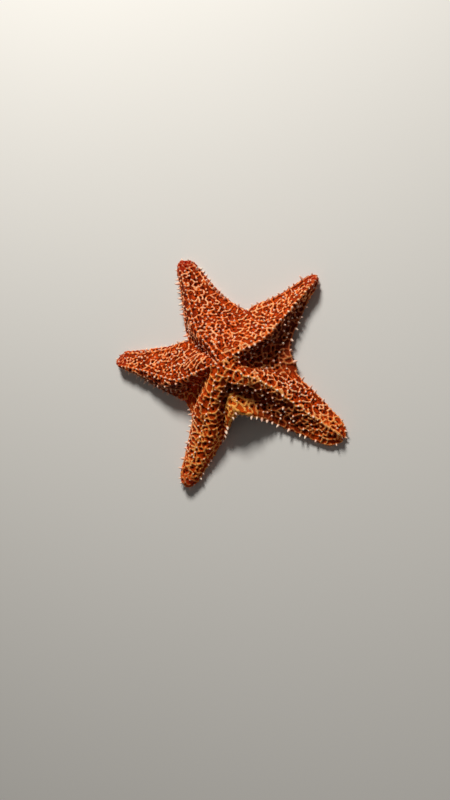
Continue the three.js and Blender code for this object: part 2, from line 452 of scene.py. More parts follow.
@dataclass(frozen=True)
class HalfArm:
    """One side of one arm, from its keel and axis out to its margin and down under to its groove.

    side is 1 on the arm's counter-clockwise side and -1 on the other.
    """

    index: int
    side: int
    lines: int = 130

    @property
    def arm(self) -> Arm:
        """The arm that this is half of."""
        return ARMS[self.index]

    @property
    def flank(self) -> Flank:
        """The arm's flank on this side."""
        return self.arm.flanks[0 if self.side > 0 else 1]

    @property
    def notch(self) -> Notch:
        """The notch that this half runs in to."""
        return NOTCHES[self.index if self.side > 0 else (self.index - 1) % len(ARMS)]

    def sizes(self, u: np.ndarray) -> dict[str, np.ndarray]:
        """Works out the widths and heights of the section lines.

        Args:
            u: Where the lines are, from 0 at the notch to 1 at the tip.

        Returns:
            Each size by name, in millimetres.
        """
        arm, notch, b = self.arm, self.notch, BUILD
        apart = math.radians(((notch.azimuth - arm.azimuth) * self.side) % 360.0)
        notch_x, notch_y = notch.radius * math.cos(apart), notch.radius * math.sin(apart)
        notch_span = notch.radius * math.sin(math.radians(b.arms_apart / 2))
        base = arm.base[0 if self.side > 0 else 1]
        length = arm.reach - notch_x
        cap = round_off(u, 1.0 - b.tip_outline / length)
        keel_cap = round_off(u, 1.0 - b.tip_keel / arm.reach)
        from_notch = (notch_y - base) * np.exp(-u / b.margin_settle)
        width = (arm.tip + (base - arm.tip) * (1.0 - u) ** arm.taper + from_notch) * cap
        at_notch = 1.0 - smooth_step(0.0, b.keel_start, b.keel_finish)
        fall = (1.0 - smooth_step(u, b.keel_start, b.keel_finish)) / at_notch
        rise = mixed(1.0, arm.rise, smooth_step(u, 0.0, b.rise_reach))
        near_mouth = 1.0 - smooth_step(u, 0.0, b.mouth_reach)
        raised = notch.shelf * (1.0 - smooth_step(u, 0.0, notch.spread))
        margin = b.margin_top * (1.0 - b.margin_thinning * u) + raised
        depth = b.groove_depth * (1.0 - smooth_step(u, *b.groove_close)) + b.mouth_depth * near_mouth
        return {
            "cap": cap,
            "width": width,
            "span": mixed(width, notch_span, near_mouth),
            "axis_x": arm.reach * u,
            "edge_x": notch_x + length * u,
            "keel": mixed(b.tip_middle, mixed(b.keel_end, b.height, fall) * rise, keel_cap),
            "margin_top": mixed(b.tip_middle, margin, cap),
            "bottom": b.tip_middle * (1.0 - cap),
            "arch": b.arch * raised,
            "roof": b.tip_middle * (1.0 - keel_cap) + depth * keel_cap,
        }

    def section(self, u: np.ndarray) -> np.ndarray:
        """Draws the section lines, with the corners of the margin, sole and groove rounded off.

        Args:
            u: Where the lines are, from 0 at the notch to 1 at the tip.

        Returns:
            For each line its points, as the share of the way from the axis to the edge, and the height.
        """
        b, s = BUILD, self.sizes(u)
        on_arm = smooth_step(u, 0.0, self.notch.spread)
        edge = 1.0 - b.margin_inset / np.maximum(s["span"], b.narrowest)
        valley, flank = self.notch.valley, self.flank
        crest = mixed(valley.crest, flank.crest, on_arm) * edge
        drop = mixed(valley.drop, flank.drop, on_arm) * edge
        fill = mixed(valley.fill, flank.fill, on_arm)
        ones, none = np.ones_like(u), np.zeros_like(u)

        handles = (
            (none, s["keel"]),
            (crest, mixed(s["margin_top"], s["keel"], b.crest_level)),
            (drop, mixed(s["margin_top"], s["keel"], fill)),
            (edge, s["margin_top"]),
        )
        t = np.linspace(0.0, 1.0, COURSE.edge + 1)
        weights = ((1 - t) ** 3, 3 * t * (1 - t) ** 2, 3 * t * t * (1 - t), t**3)
        slope = sum(
            weight[None, :, None] * np.stack(handle, axis=-1)[:, None, :]
            for weight, handle in zip(weights, handles)
        )

        def share(distance: float) -> np.ndarray:
            """Gives a distance from the axis as a share of the way out, less where the arm is narrow."""
            return distance * np.minimum(1.0, s["span"] / b.narrow) / np.maximum(s["span"], 0.5)

        shoulder_out, shoulder_up = b.groove_shoulder
        rim_foot = share(b.groove_half + b.groove_rim + b.groove_slope)
        sole = s["bottom"] + b.sole * s["cap"]
        outer = s["bottom"] + s["arch"]
        corners = np.stack(
            [
                np.stack(corner, axis=-1)
                for corner in (
                    (edge, s["margin_top"]),
                    *((ones, mixed(outer, s["margin_top"], level)) for level in b.margin_levels),
                    (edge, sole + s["arch"]),
                    (mixed(edge, rim_foot, 0.5), sole + 0.5 * s["arch"]),
                    (rim_foot, sole),
                    (share(b.groove_half + b.groove_rim), s["bottom"]),
                    (share(b.groove_half), s["bottom"]),
                    (share(shoulder_out * b.groove_half), mixed(s["bottom"], s["roof"], shoulder_up)),
                    (none, s["roof"]),
                )
            ],
            axis=1,
        )
        for _ in range(2):
            before, after = corners[:, :-1], corners[:, 1:]
            cut = np.stack([mixed(before, after, 0.25), mixed(before, after, 0.75)], axis=2)
            cut = cut.reshape(len(u), -1, 2)
            corners = np.concatenate([corners[:, :1], cut[:, 1:-1], corners[:, -1:]], axis=1)
        return np.concatenate([slope, corners[:, 1:]], axis=1)

    def place(self, u: np.ndarray, v: np.ndarray, height: np.ndarray) -> np.ndarray:
        """Places points of the section lines in the body, whose middle is the origin.

        Args:
            u: The section line of each point.
            v: Its share of the way from the axis to the edge.
            height: Its height over the floor before the body is arched.

        Returns:
            The points, one in each row of the last axis, in millimetres.
        """
        b, s = BUILD, self.sizes(u)
        on_arm = smooth_step(u, 0.0, b.disc_reach)
        along = mixed(s["axis_x"], s["edge_x"], v)
        across = self.side * s["width"] * v + on_arm * self.arm.lean * height
        turn = math.radians(self.arm.azimuth)
        shift = (1.0 - on_arm) * height / b.height
        x = along * math.cos(turn) - across * math.sin(turn) + shift * b.summit_shift[0]
        y = along * math.sin(turn) + across * math.cos(turn) + shift * b.summit_shift[1]
        z = height + b.lift * (1.0 - smooth_step(np.hypot(x, y), *b.lift_radii))
        return np.stack([x, y, z], axis=-1)

    def stations(self) -> np.ndarray:
        """Gives where the section lines are, from 0 at the notch to 1 at the tip, closer at both ends."""
        t = np.linspace(0.0, 1.0, self.lines + 1)
        return t - np.sin(2.0 * math.pi * t) / (4.0 * math.pi)

    def lattice(self) -> np.ndarray:
        """Places all the section lines and gives their points, line by line."""
        u = self.stations()
        lines = self.section(u)
        spread = np.repeat(u[:, None], lines.shape[1], axis=1)
        return self.place(spread, lines[..., 0], lines[..., 1])


@dataclass
class Form:
    """The sea star's bare body, made from its half arms, and where on it each point lies.

    half holds the number of the half arm that each point lies on, along how far along it, and down how many
    points down its section line. swell is the height of the uneven swellings, which start between the two
    heights of swell_from, and swell_lengths how long they are, in millimetres. gold_angle is how far round
    the disc an arm's yellow is felt, in degrees. The fades say between which places a marking comes or goes:
    flank_fade from the keel out, and the others along the arm.
    """

    middle: Vector
    voxel: float = 0.48 * MM
    melt: int = 8
    swell: float = 0.35 * MM
    swell_from: tuple[float, float] = (4.0 * MM, 12.0 * MM)
    swells: int = 14
    swell_lengths: tuple[float, float] = (9.0, 26.0)
    gold_angle: float = 26.0
    flank_fade: tuple[float, float] = (0.12, 0.4)
    # Where along the arm the painted shade fades out.
    painted_shade_fade: tuple[float, float] = (0.55, 0.85)
    red_fade: tuple[float, float] = (0.65, 0.85)
    tip_fade: tuple[float, float] = (0.8, 0.96)
    rim_fade: tuple[float, float] = (0.1, 0.3)
    bake_edge: float = 0.02
    seed: int = 5
    halves: list[HalfArm] = field(
        default_factory=lambda: [HalfArm(i, side) for i in range(len(ARMS)) for side in (1, -1)]
    )
    lattices: list[np.ndarray] = field(default_factory=list)
    mesh: bpy.types.Mesh | None = None
    points: np.ndarray | None = None
    normals: np.ndarray | None = None
    tree: KDTree | None = None
    half: np.ndarray | None = None
    along: np.ndarray | None = None
    down: np.ndarray | None = None

    def sheet(self, half: HalfArm, lattice: np.ndarray) -> bpy.types.Mesh:
        """Shapes a flat grid into one half arm's patch of skin.

        Args:
            half: The half arm.
            lattice: Its section lines' points.

        Returns:
            The patch, with its faces outwards.
        """
        lines, steps = lattice.shape[0] - 1, lattice.shape[1] - 1
        build = bmesh.new()
        bmesh.ops.create_grid(build, x_segments=lines, y_segments=steps, size=0.5)
        for vert in build.verts:
            line = round((vert.co.x + 0.5) * lines)
            step = round((vert.co.y + 0.5) * steps)
            vert.co = lattice[line, step]
        if half.side > 0:
            bmesh.ops.reverse_faces(build, faces=build.faces)
        return mesh_from(build, "patch")

    def shell(self) -> bpy.types.Mesh:
        """Joins the patches of the half arms into one closed skin."""
        build = bmesh.new()
        for half in self.halves:
            lattice = half.lattice() * MM + np.array(self.middle)
            self.lattices.append(lattice)
            patch = self.sheet(half, lattice)
            build.from_mesh(patch)
            bpy.data.meshes.remove(patch)
        bmesh.ops.remove_doubles(build, verts=build.verts, dist=0.03 * MM)
        bmesh.ops.dissolve_degenerate(build, edges=build.edges, dist=0.01 * MM)
        bmesh.ops.recalc_face_normals(build, faces=build.faces)
        return mesh_from(build, "shell")

    def build(self) -> None:
        """Makes the even, melted body mesh and finds where its vertices lie."""
        shell = self.shell()
        rough = shown("rough_body", shell)
        remesh = rough.modifiers.new("even", "REMESH")
        remesh.mode = "VOXEL"
        remesh.voxel_size = self.voxel
        melt = rough.modifiers.new("melt", "SMOOTH")
        melt.factor = 0.5
        melt.iterations = self.melt
        self.mesh = applied(rough)
        bpy.data.meshes.remove(shell)

        points, normals = positions_of(self.mesh), normals_of(self.mesh)
        self.locate(points)
        rising = smooth_step(points[:, 2], *self.swell_from)
        self.points = points + normals * (self.waves(points) * self.swell * rising)[:, None]
        move_to(self.mesh, self.points)
        self.normals = normals_of(self.mesh)
        self.tree = tree_of(self.points)
        LOG.info("body: %d faces", len(self.mesh.polygons))

    def locate(self, points: np.ndarray) -> None:
        """Finds the half arm of each point, how far along it is, and how far down its section line."""
        half, along, down, flat = [], [], [], []
        for number, (part, lattice) in enumerate(zip(self.halves, self.lattices)):
            lines, steps = lattice.shape[:2]
            flat.append(lattice.reshape(-1, 3))
            half.append(np.full(lines * steps, number))
            along.append(np.repeat(part.stations(), steps))
            down.append(np.tile(np.arange(steps), lines))
        index, _ = nearest(tree_of(np.concatenate(flat)), points)
        self.half = np.concatenate(half)[index]
        self.along = np.concatenate(along)[index]
        self.down = np.concatenate(down)[index]

    def waves(self, points: np.ndarray) -> np.ndarray:
        """Gives soft uneven swellings of about 1 at most, so that no two sides of the body are alike."""
        rng = np.random.default_rng(self.seed)
        total = np.zeros(len(points))
        for _ in range(self.swells):
            length = rng.uniform(*self.swell_lengths) * MM
            direction = unit(rng.normal(size=3))
            total += np.sin(points @ direction * (2.0 * math.pi / length) + rng.uniform(0.0, 6.28))
        return total / math.sqrt(self.swells / 2)

    def eased(self, values: np.ndarray, rounds: int) -> np.ndarray:
        """Evens out values on the body's vertices.

        Args:
            values: One value for each vertex.
            rounds: How many times each vertex is brought to the mean of itself and its neighbours.

        Returns:
            The evened values.
        """
        flat = np.empty(len(self.mesh.edges) * 2, np.int32)
        self.mesh.edges.foreach_get("vertices", flat)
        a, b = flat.reshape(-1, 2).T
        count = len(values)
        neighbours = np.bincount(a, minlength=count) + np.bincount(b, minlength=count)
        for _ in range(rounds):
            total = np.bincount(a, values[b], count) + np.bincount(b, values[a], count)
            values = (values + total) / (1.0 + neighbours)
        return values

    def by_flank(self, name: str) -> np.ndarray:
        """Gives one of the flanks' and valleys' markings at each point, eased from one to the next."""
        total = np.zeros(len(self.points))
        for number, part in enumerate(self.halves):
            here = self.half == number
            on_arm = smooth_step(self.along[here], 0.0, part.notch.spread)
            total[here] = mixed(getattr(part.notch.valley, name), getattr(part.flank, name), on_arm)
        return self.eased(total * smooth_step(self.down / COURSE.edge, *self.flank_fade), 12)

    def painted_shade(self) -> np.ndarray:
        """Gives how much painted shade darkens the net at each point; there is less towards the tips."""
        return self.by_flank("painted_shade") * (1.0 - smooth_step(self.along, *self.painted_shade_fade))

    def gold(self) -> np.ndarray:
        """Gives how yellow the net is at each point, each arm fading into the next."""
        off = self.points - np.array(self.middle)
        facing = np.degrees(np.arctan2(off[:, 1], off[:, 0]))
        apart = [(facing - arm.azimuth + 180.0) % 360.0 - 180.0 for arm in ARMS]
        near = np.exp(-((np.array(apart) / self.gold_angle) ** 2)) + 1e-6
        whole = np.array([arm.gold for arm in ARMS]) @ near / near.sum(axis=0)
        red = self.by_flank("red") * (1.0 - smooth_step(self.along, *self.red_fade))
        return whole * (1.0 - red)

    def tip(self) -> np.ndarray:
        """Gives how dark red each arm is at its tip."""
        blush = np.array([part.arm.blush for part in self.halves])[self.half]
        return smooth_step(self.along, *self.tip_fade) * blush

    def rim(self) -> np.ndarray:
        """Gives how much the margin by its notch is painted yellower and lighter at each point: partly its
        own yellow, partly painted light.
        """
        down = smooth_step(self.down, *COURSE.glow[:2]) * (1.0 - smooth_step(self.down, *COURSE.glow[2:]))
        rims = np.array([part.notch.rim for part in self.halves])[self.half]
        return self.eased(rims * down * (1.0 - smooth_step(self.along, *self.rim_fade)), 3)

    def bake_place(self, index: int) -> Vector:
        """Gives a vertex's place on the flattened skin: the arms side by side, each from keel to groove."""
        part = self.halves[self.half[index]]
        steps = self.lattices[0].shape[1] - 1
        across = 0.5 + 0.5 * part.side * self.down[index] / steps
        edge, kept = self.bake_edge, 1.0 - 3.0 * self.bake_edge
        return Vector(((part.index + edge + kept * across) / len(ARMS), edge + kept * self.along[index]))


@dataclass
class Ground:
    """Remembers which places are taken, so that things keep their distance from each other, in metres."""

    box: float = 6.0 * MM
    places: dict[tuple[int, ...], list[tuple[float, ...]]] = field(default_factory=dict)

    def cell(self, point: Sequence[float]) -> tuple[int, ...]:
        """Gives the box that a point lies in."""
        return tuple(int(c // self.box) for c in point)

    def free(self, point: np.ndarray, distance: float) -> bool:
        """Says whether a point is at least a distance, of a box at most, from every place taken."""
        i, j, k = self.cell(point)
        x, y, z = point.tolist()
        return not any(
            (x - a) ** 2 + (y - b) ** 2 + (z - c) ** 2 < distance**2
            for di in (-1, 0, 1)
            for dj in (-1, 0, 1)
            for dk in (-1, 0, 1)
            for a, b, c in self.places.get((i + di, j + dj, k + dk), ())
        )

    def take(self, point: np.ndarray) -> None:
        """Takes a place."""
        self.places.setdefault(self.cell(point), []).append(tuple(point.tolist()))


# ---- The net ----


class Row(Enum):
    """The rows that a knot of the net can belong to."""

    UPPER_MARGIN = "upper_margin"
    LOWER_MARGIN = "lower_margin"
    SHELF = "shelf"
    KEEL = "keel"
    FLANK = "flank"
    FIELD = "field"


MARGIN_ROWS = (Row.UPPER_MARGIN, Row.LOWER_MARGIN, Row.SHELF)


@dataclass
class Knot:
    """A knot of the net: its place on the skin, the way out of it, its vertex of the body and its row.

    spacing is how far it keeps from the next knots.
    """

    point: np.ndarray
    normal: np.ndarray
    vertex: int
    row: Row
    spacing: float


@dataclass
class Net:
    """The raised net of bars and knots over the upper side and the margins, in metres.

    The pitch changes with how yellow the net is, over gold_change, and along an arm, over tip_change. Knots
    keep row_spacing of it apart in the rows and field_spacing elsewhere, and the spans say where along the
    arms the rows run. Two knots are joined up to reach pitches apart where a round patch between them, lune
    wide against their distance, holds no third. missing is the share of bars left out, and weakest how weak
    they can be, each where the net is pink and where it is yellow. In the rows a bar's strength is
    margin_bars or keel_bars, but it is 1 beside a yellow margin up to strong_by_rim along the arm, and on the
    keels of arms that are yellower than strong_keel.
    """

    form: Form
    pitch: float = 4.9 * MM
    pitch_at_tip: float = 4.2 * MM
    pitch_where_gold: float = 5.3 * MM
    pitch_on_rim: float = 4.6 * MM
    gold_change: tuple[float, float] = (0.35, 0.75)
    tip_change: tuple[float, float] = (0.3, 0.9)
    margin_pitch: float = 5.2 * MM
    margin_span: tuple[float, float] = (0.004, 1.0)
    shelf_span: tuple[float, float] = (0.004, 0.2)
    keel_span: tuple[float, float] = (0.03, 1.0)
    flanks_from: float = 0.16
    row_spacing: float = 0.6
    field_spacing: float = 0.86
    field_end: float = 0.97
    tries: int = 30_000
    jitter: float = 0.8 * MM
    reach: float = 1.8
    lune: float = 1.34
    bar: float = 1.08 * MM
    bow: float = 0.85 * MM
    margin_bars: float = 0.8
    strong_by_rim: float = 0.3
    keel_bars: float = 0.75
    strong_keel: float = 0.6
    missing: tuple[float, float] = (0.3, 0.12)
    weakest: tuple[float, float] = (0.4, 0.6)
    step: float = 0.3 * MM
    seed: int = 11
    knots: list[Knot] = field(default_factory=list)
    bars: list[tuple[int, int, float]] = field(default_factory=list)
    ground: Ground = field(default_factory=Ground)
    gold: np.ndarray | None = None
    rim: np.ndarray | None = None

    def pitch_at(self, along: float, vertex: int) -> float:
        """Gives the space between knots at a vertex and its place along an arm."""
        gold = smooth_step(self.gold[vertex], *self.gold_change)
        base = mixed(mixed(self.pitch, self.pitch_where_gold, gold), self.pitch_on_rim, self.rim[vertex])
        return float(mixed(base, self.pitch_at_tip, smooth_step(along, *self.tip_change)))

    def add(self, point: np.ndarray, row: Row, along: float, least: float) -> int | None:
        """Ties a knot where the skin is nearest to a point, unless another is too near.

        Args:
            point: Where the knot should go.
            row: The row that it belongs to.
            along: How far along its arm it is.
            least: The least distance to another knot, as a share of the pitch.

        Returns:
            The knot's number, or None.
        """
        _, vertex, _ = self.form.tree.find(point.tolist())
        spacing = self.pitch_at(along, vertex)
        place = self.form.points[vertex]
        if not self.ground.free(place, least * spacing):
            return None
        self.ground.take(place)
        self.knots.append(Knot(place, self.form.normals[vertex], vertex, row, spacing))
        return len(self.knots) - 1

    def walk(self, line: np.ndarray, pitch: float, start: float) -> list[tuple[int, float]]:
        """Paces out a line of lattice points.

        Args:
            line: The line's points, from the notch to the tip.
            pitch: The pace; it changes along the line as the net's own pitch does.
            start: Where along the arm to start.

        Returns:
            For each pace the number of the lattice point, and how far along the arm it is.
        """
        u = self.form.halves[0].stations()
        found, gone, wanted = [], 0.0, 0.0
        for i in range(1, len(line)):
            if u[i] < start:
                continue
            gone += float(np.linalg.norm(line[i] - line[i - 1]))
            if gone >= wanted:
                found.append((i, float(u[i])))
                _, vertex, _ = self.form.tree.find(line[i].tolist())
                wanted = gone + pitch * self.pitch_at(float(u[i]), vertex) / self.pitch
        return found

    def tie_row(
        self,
        line: np.ndarray,
        row: Row,
        pitch: float,
        span: tuple[float, float],
        plain: float,
        strong_until: float,
    ) -> None:
        """Ties a row of knots along a line and joins each to the next.

        Args:
            line: The line's points, from the notch to the tip.
            row: The row.
            pitch: Its pace.
            span: Where along the arm it starts and ends.
            plain: How strong its bars are.
            strong_until: How far along the arm they have their full strength instead.
        """
        previous = None
        for i, along in self.walk(line, pitch, span[0]):
            if along > span[1]:
                break
            knot = self.add(line[i], row, along, self.row_spacing)
            if knot is None:
                continue
            if previous is not None:
                self.bars.append((previous, knot, 1.0 if along < strong_until else plain))
            previous = knot

    def tie_margins(self) -> None:
        """Ties the rows along the margins and round the raised shelf."""
        for part, lattice in zip(self.form.halves, self.form.lattices):
            rows = [
                (COURSE.upper_row, Row.UPPER_MARGIN, self.margin_span),
                (COURSE.lower_row, Row.LOWER_MARGIN, self.margin_span),
            ]
            if part.notch.rim > 0.0:
                rows.append((COURSE.shelf_row, Row.SHELF, self.shelf_span))
            strong_until = self.strong_by_rim * part.notch.rim
            for step, row, span in rows:
                line = lattice[:, step]
                self.tie_row(line, row, self.margin_pitch, span, self.margin_bars, strong_until)

    def tie_keels(self) -> None:
        """Ties the row along each arm's keel."""
        for part, lattice in zip(self.form.halves, self.form.lattices):
            if part.side > 0:
                strong_until = math.inf if part.arm.gold > self.strong_keel else 0.0
                line = lattice[:, 0]
                self.tie_row(line, Row.KEEL, self.pitch, self.keel_span, self.keel_bars, strong_until)

    def tie_flanks(self, rng: np.random.Generator) -> None:
        """Ties rows that run down the flanks of the arms from the keels to the margins."""
        for lattice in self.form.lattices:
            for i, along in self.walk(lattice[:, 0], self.pitch, self.flanks_from):
                line = lattice[i, : COURSE.edge + 1]
                gone = run_along(line)
                _, vertex, _ = self.form.tree.find(line[COURSE.edge // 2].tolist())
                rows = max(int(round(gone[-1] / self.pitch_at(along, vertex))), 1)
                for k in range(1, rows):
                    point = np.array([np.interp(gone[-1] * k / rows, gone, axis) for axis in line.T])
                    point += rng.normal(0.0, self.jitter, 3)
                    self.add(point, Row.FLANK, along, self.row_spacing)

    def tie_field(self, rng: np.random.Generator) -> None:
        """Fills what is left of the upper side and the margins with scattered knots."""
        form = self.form
        upper = np.flatnonzero((form.down < COURSE.field_end) & (form.along < self.field_end))
        for vertex in rng.permutation(upper)[: self.tries]:
            self.add(form.points[vertex], Row.FIELD, float(form.along[vertex]), self.field_spacing)

    def link(self, rng: np.random.Generator) -> None:
        """Joins neighbouring knots with bars, wherever no third knot lies between the two."""
        points = np.array([knot.point for knot in self.knots])
        spacing = np.array([knot.spacing for knot in self.knots])
        rows = [knot.row for knot in self.knots]
        tied = {tuple(sorted(bar[:2])) for bar in self.bars}
        tree = tree_of(points)
        for i, point in enumerate(points):
            for _, j, distance in tree.find_range(point.tolist(), self.reach * spacing[i]):
                if j <= i or (i, j) in tied:
                    continue
                if rows[i] is rows[j] and rows[i] in MARGIN_ROWS:
                    continue
                middle = (point + points[j]) / 2
                within = np.sum((points - middle) ** 2, axis=1) < (self.lune * distance / 2) ** 2
                within[[i, j]] = False
                gold = self.gold[self.knots[i].vertex]
                if within.any() or rng.random() < mixed(*self.missing, gold):
                    continue
                self.bars.append((i, j, float(rng.uniform(mixed(*self.weakest, gold), 1.0))))

    def build(self) -> None:
        """Ties all knots and joins them."""
        rng = np.random.default_rng(self.seed)
        self.gold, self.rim = self.form.gold(), self.form.rim()
        self.tie_margins()
        self.tie_keels()
        self.tie_flanks(rng)
        self.tie_field(rng)
        self.link(rng)
        LOG.info("net: %d knots, %d bars", len(self.knots), len(self.bars))

    def bar_samples(self) -> tuple[np.ndarray, np.ndarray, np.ndarray]:
        """Lays points along every bar, bowed a little to one side and brought on to the skin.

        Returns:
            The points, how strong the bar is at each, and its half-width there.
        """
        rng = np.random.default_rng(self.seed + 1)
        points, strengths, widths = [], [], []
        for i, j, strength in self.bars:
            a, b = self.knots[i], self.knots[j]
            span = b.point - a.point
            length = float(np.linalg.norm(span))
            aside = unit(np.cross(a.normal + b.normal, span)) * rng.normal(0.0, self.bow)
            width = self.bar * rng.uniform(0.75, 1.15) * (0.7 + 0.3 * strength)
            width *= min(1.0, a.spacing / self.pitch)
            t = np.linspace(0.0, 1.0, max(int(length / self.step), 3))
            arch = np.sin(math.pi * t)
            points.append(a.point + span * t[:, None] + aside * arch[:, None])
            strengths.append(np.full(len(t), strength))
            widths.append(width * (1.0 - 0.2 * arch))
        laid = np.concatenate(points)
        index, _ = nearest(self.form.tree, laid)
        off = np.sum((laid - self.form.points[index]) * self.form.normals[index], axis=1)
        laid -= off[:, None] * self.form.normals[index]
        return laid, np.concatenate(strengths), np.concatenate(widths)


# ---- The skin ----


@dataclass
class Skin:
    """The one skin that stands for the disc and the arms, in metres.

    relief is how high the net stands, evened out easing times and brought up again by lift. knot is the
    radius of a knot. A pit has the radius pit, more by wider_where_yellow in a yellow net, and lies pit_clear
    or more from the bars and pit_spacing from the next; pit_share is the share of such places that have one
    in a pink and in a yellow net. The slopes say between which shares of their width these fall. The cells
    are darkened most by painted shade beside the bars, at a set distance from the middle of a bar and over a
    set width.
    """

    form: Form
    net: Net
    relief: float = 1.5 * MM
    easing: int = 4
    lift: float = 1.25
    bar_slope: tuple[float, float] = (0.25, 1.45)
    knot: float = 1.3 * MM
    knot_slope: tuple[float, float] = (0.3, 1.15)
    pit: float = 1.3 * MM
    wider_where_yellow: float = 0.35
    pit_depth: float = 1.1 * MM
    pit_slope: tuple[float, float] = (0.35, 1.0)
    pit_clear: float = 1.35 * MM
    pit_spacing: float = 3.4 * MM
    pit_share: tuple[float, float] = (0.65, 0.6)
    # Painted shade: where and how wide the cells are darkened beside the bars.
    painted_crease_shade_off: float = 1.35 * MM
    painted_crease_shade: float = 0.45 * MM
    most_triangles: int = 190_000
    seed: int = 23

    def ridges(self) -> tuple[np.ndarray, np.ndarray, np.ndarray]:
        """Works out how high the net stands at each vertex, and how far each is from a bar.

        Returns:
            The height, from 0 in a cell to 1 on a bar, how pale the net is, and the distance to the nearest
            bar, which is endless past the margins.
        """
        form = self.form
        reached = np.flatnonzero(form.down < COURSE.net_end)
        laid, strengths, widths = self.net.bar_samples()
        index, distance = nearest(tree_of(laid), form.points[reached])
        bar = strengths[index] * (1.0 - smooth_step(distance / widths[index], *self.bar_slope))
        knots = np.array([knot.point for knot in self.net.knots])
        _, off = nearest(tree_of(knots), form.points[reached])
        knob = 1.0 - smooth_step(off / self.knot, *self.knot_slope)
        height = np.zeros(len(form.points))
        height[reached] = np.maximum(bar, knob)
        height = np.clip(form.eased(height, self.easing) * self.lift, 0.0, 1.0)
        pale = np.zeros(len(form.points))
        pale[reached] = np.maximum(bar * strengths[index] ** 1.5, knob)
        pale = form.eased(pale, 1)
        away = np.full(len(form.points), np.inf)
        away[reached] = distance
        return height, pale, away

    def pits(self, away: np.ndarray, gold: np.ndarray) -> np.ndarray:
        """Sinks small pits into some cells, as far from the bars as can be.

        Args:
            away: The distance of each vertex from the nearest bar.
            gold: How yellow the net is at each vertex; where it is yellow the pits are wider.

        Returns:
            The depth at each vertex, from 0 to 1.
        """
        form = self.form
        rng = np.random.default_rng(self.seed)
        cells = np.flatnonzero((away > self.pit_clear) & (form.down < COURSE.pits_end))
        centres: list[np.ndarray] = []
        ground = Ground()
        for vertex in cells[np.argsort(-away[cells])]:
            if ground.free(form.points[vertex], self.pit_spacing):
                ground.take(form.points[vertex])
                centres.append(form.points[vertex])
        yellow = np.array([gold[form.tree.find(centre.tolist())[1]] for centre in centres])
        kept = np.flatnonzero(rng.random(len(centres)) < mixed(*self.pit_share, yellow))
        LOG.info("pits: %d of %d cells", len(kept), len(centres))
        index, off = nearest(tree_of(np.array(centres)[kept]), form.points[cells])
        width = self.pit * (1.0 + self.wider_where_yellow * yellow[kept][index])
        depth = np.zeros(len(form.points))
        depth[cells] = 1.0 - smooth_step(off / width, *self.pit_slope)
        return depth

    def build(self, material: bpy.types.Material) -> None:
        """Raises the net on the body, thins the mesh where it is plain, and dresses it.

        Args:
            material: The skin's finish.
        """
        form, mesh = self.form, self.form.mesh
        height, pale, away = self.ridges()
        gold, rim = form.gold(), form.rim()
        depth = self.pits(away, gold)
        points = form.points + form.normals * (height * self.relief - depth * self.pit_depth)[:, None]
        points[:, 2] = np.maximum(points[:, 2], 0.0)
        marks = {
            "ridge": height,
            # Painted shade in the cells beside the bars.
            "painted_crease_shade": np.exp(-(((away - self.painted_crease_shade_off) / self.painted_crease_shade) ** 2)),
            "gold": gold,
            "pale": pale,
            # Painted shade on flanks that face away from the light, none where the margin has painted light.
            "painted_shade": form.painted_shade() * (1.0 - rim),
            # The shelf's margin, painted yellower and lighter: partly its own yellow, partly painted light.
            "rim": rim,
            # How deep the pits are; the pits are painted near-black by it, as painted shade.
            "pit": depth,
            "tip": form.tip(),
            "under": smooth_step(form.down, *COURSE.sole),
        }
        for name, values in marks.items():
            mark(mesh, name, values)
        move_to(mesh, points)

        draft = shown("draft_skin", mesh)
        thin = draft.modifiers.new("thin", "DECIMATE")
        thin.ratio = min(1.0, self.most_triangles / (2.0 * len(mesh.polygons)))
        final = applied(draft)
        final.shade_smooth()
        settled = positions_of(final)
        settled[:, 2] = np.maximum(settled[:, 2], 0.0)
        move_to(final, settled)
        skin = finished("skin", final, material)
        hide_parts(*FLESH_NODES)


# ---- Pegs: tubercles, spines, granules and tube feet ----


@dataclass(frozen=True)
class Peg:
    """One blunt peg, spun round its axis from a short outline, in metres.

    profile holds its radius as a share of the foot's at even steps from the foot to just under the top, and
    sunk is how deep its root goes into the skin.
    """

    radius: float
    length: float
    profile: tuple[float, ...]
    sides: int
    sunk: float = 0.8 * MM

    def template(self) -> bpy.types.Mesh:
        """Spins the peg upright on the origin, with its bake patch and how far up it each vertex is."""
        steps = len(self.profile)
        outline = [(0.0, -self.sunk), (self.radius, -self.sunk)]
        for k, share in enumerate(self.profile):
            outline.append((self.radius * share, self.length * k / steps))
        outline.append((0.0, self.length))
        build = bmesh.new()
        verts = [build.verts.new((x, 0.0, z)) for x, z in outline]
        edges = [build.edges.new(pair) for pair in zip(verts, verts[1:])]
        bmesh.ops.spin(
            build,
            geom=verts + edges,
            axis=(0.0, 0.0, 1.0),
            cent=(0.0, 0.0, 0.0),
            angle=2.0 * math.pi,
            steps=self.sides,
            use_merge=True,
        )
        bmesh.ops.remove_doubles(build, verts=build.verts, dist=0.01 * MM)
        bmesh.ops.recalc_face_normals(build, faces=build.faces)
        rise = build.verts.layers.float.new("rise")
        for vert in build.verts:
            vert[rise] = max(0.0, vert.co.z / self.length)
        patch = build.loops.layers.uv.new(BAKE_MAP)
        for face in build.faces:
            middle = face.calc_center_median()
            facing = math.atan2(middle.y, middle.x)
            for loop in face.loops:
                co = loop.vert.co
                around = math.atan2(co.y, co.x) if co.xy.length > 0.01 * MM else facing
                turn = (around - facing + math.pi) % (2.0 * math.pi) - math.pi + facing
                share = (co.z + self.sunk) / (self.length + self.sunk)
                loop[patch].uv = (BAKE_PATCH * turn / (2.0 * math.pi), BAKE_PATCH * (share - 0.5))
        return mesh_from(build, "peg")


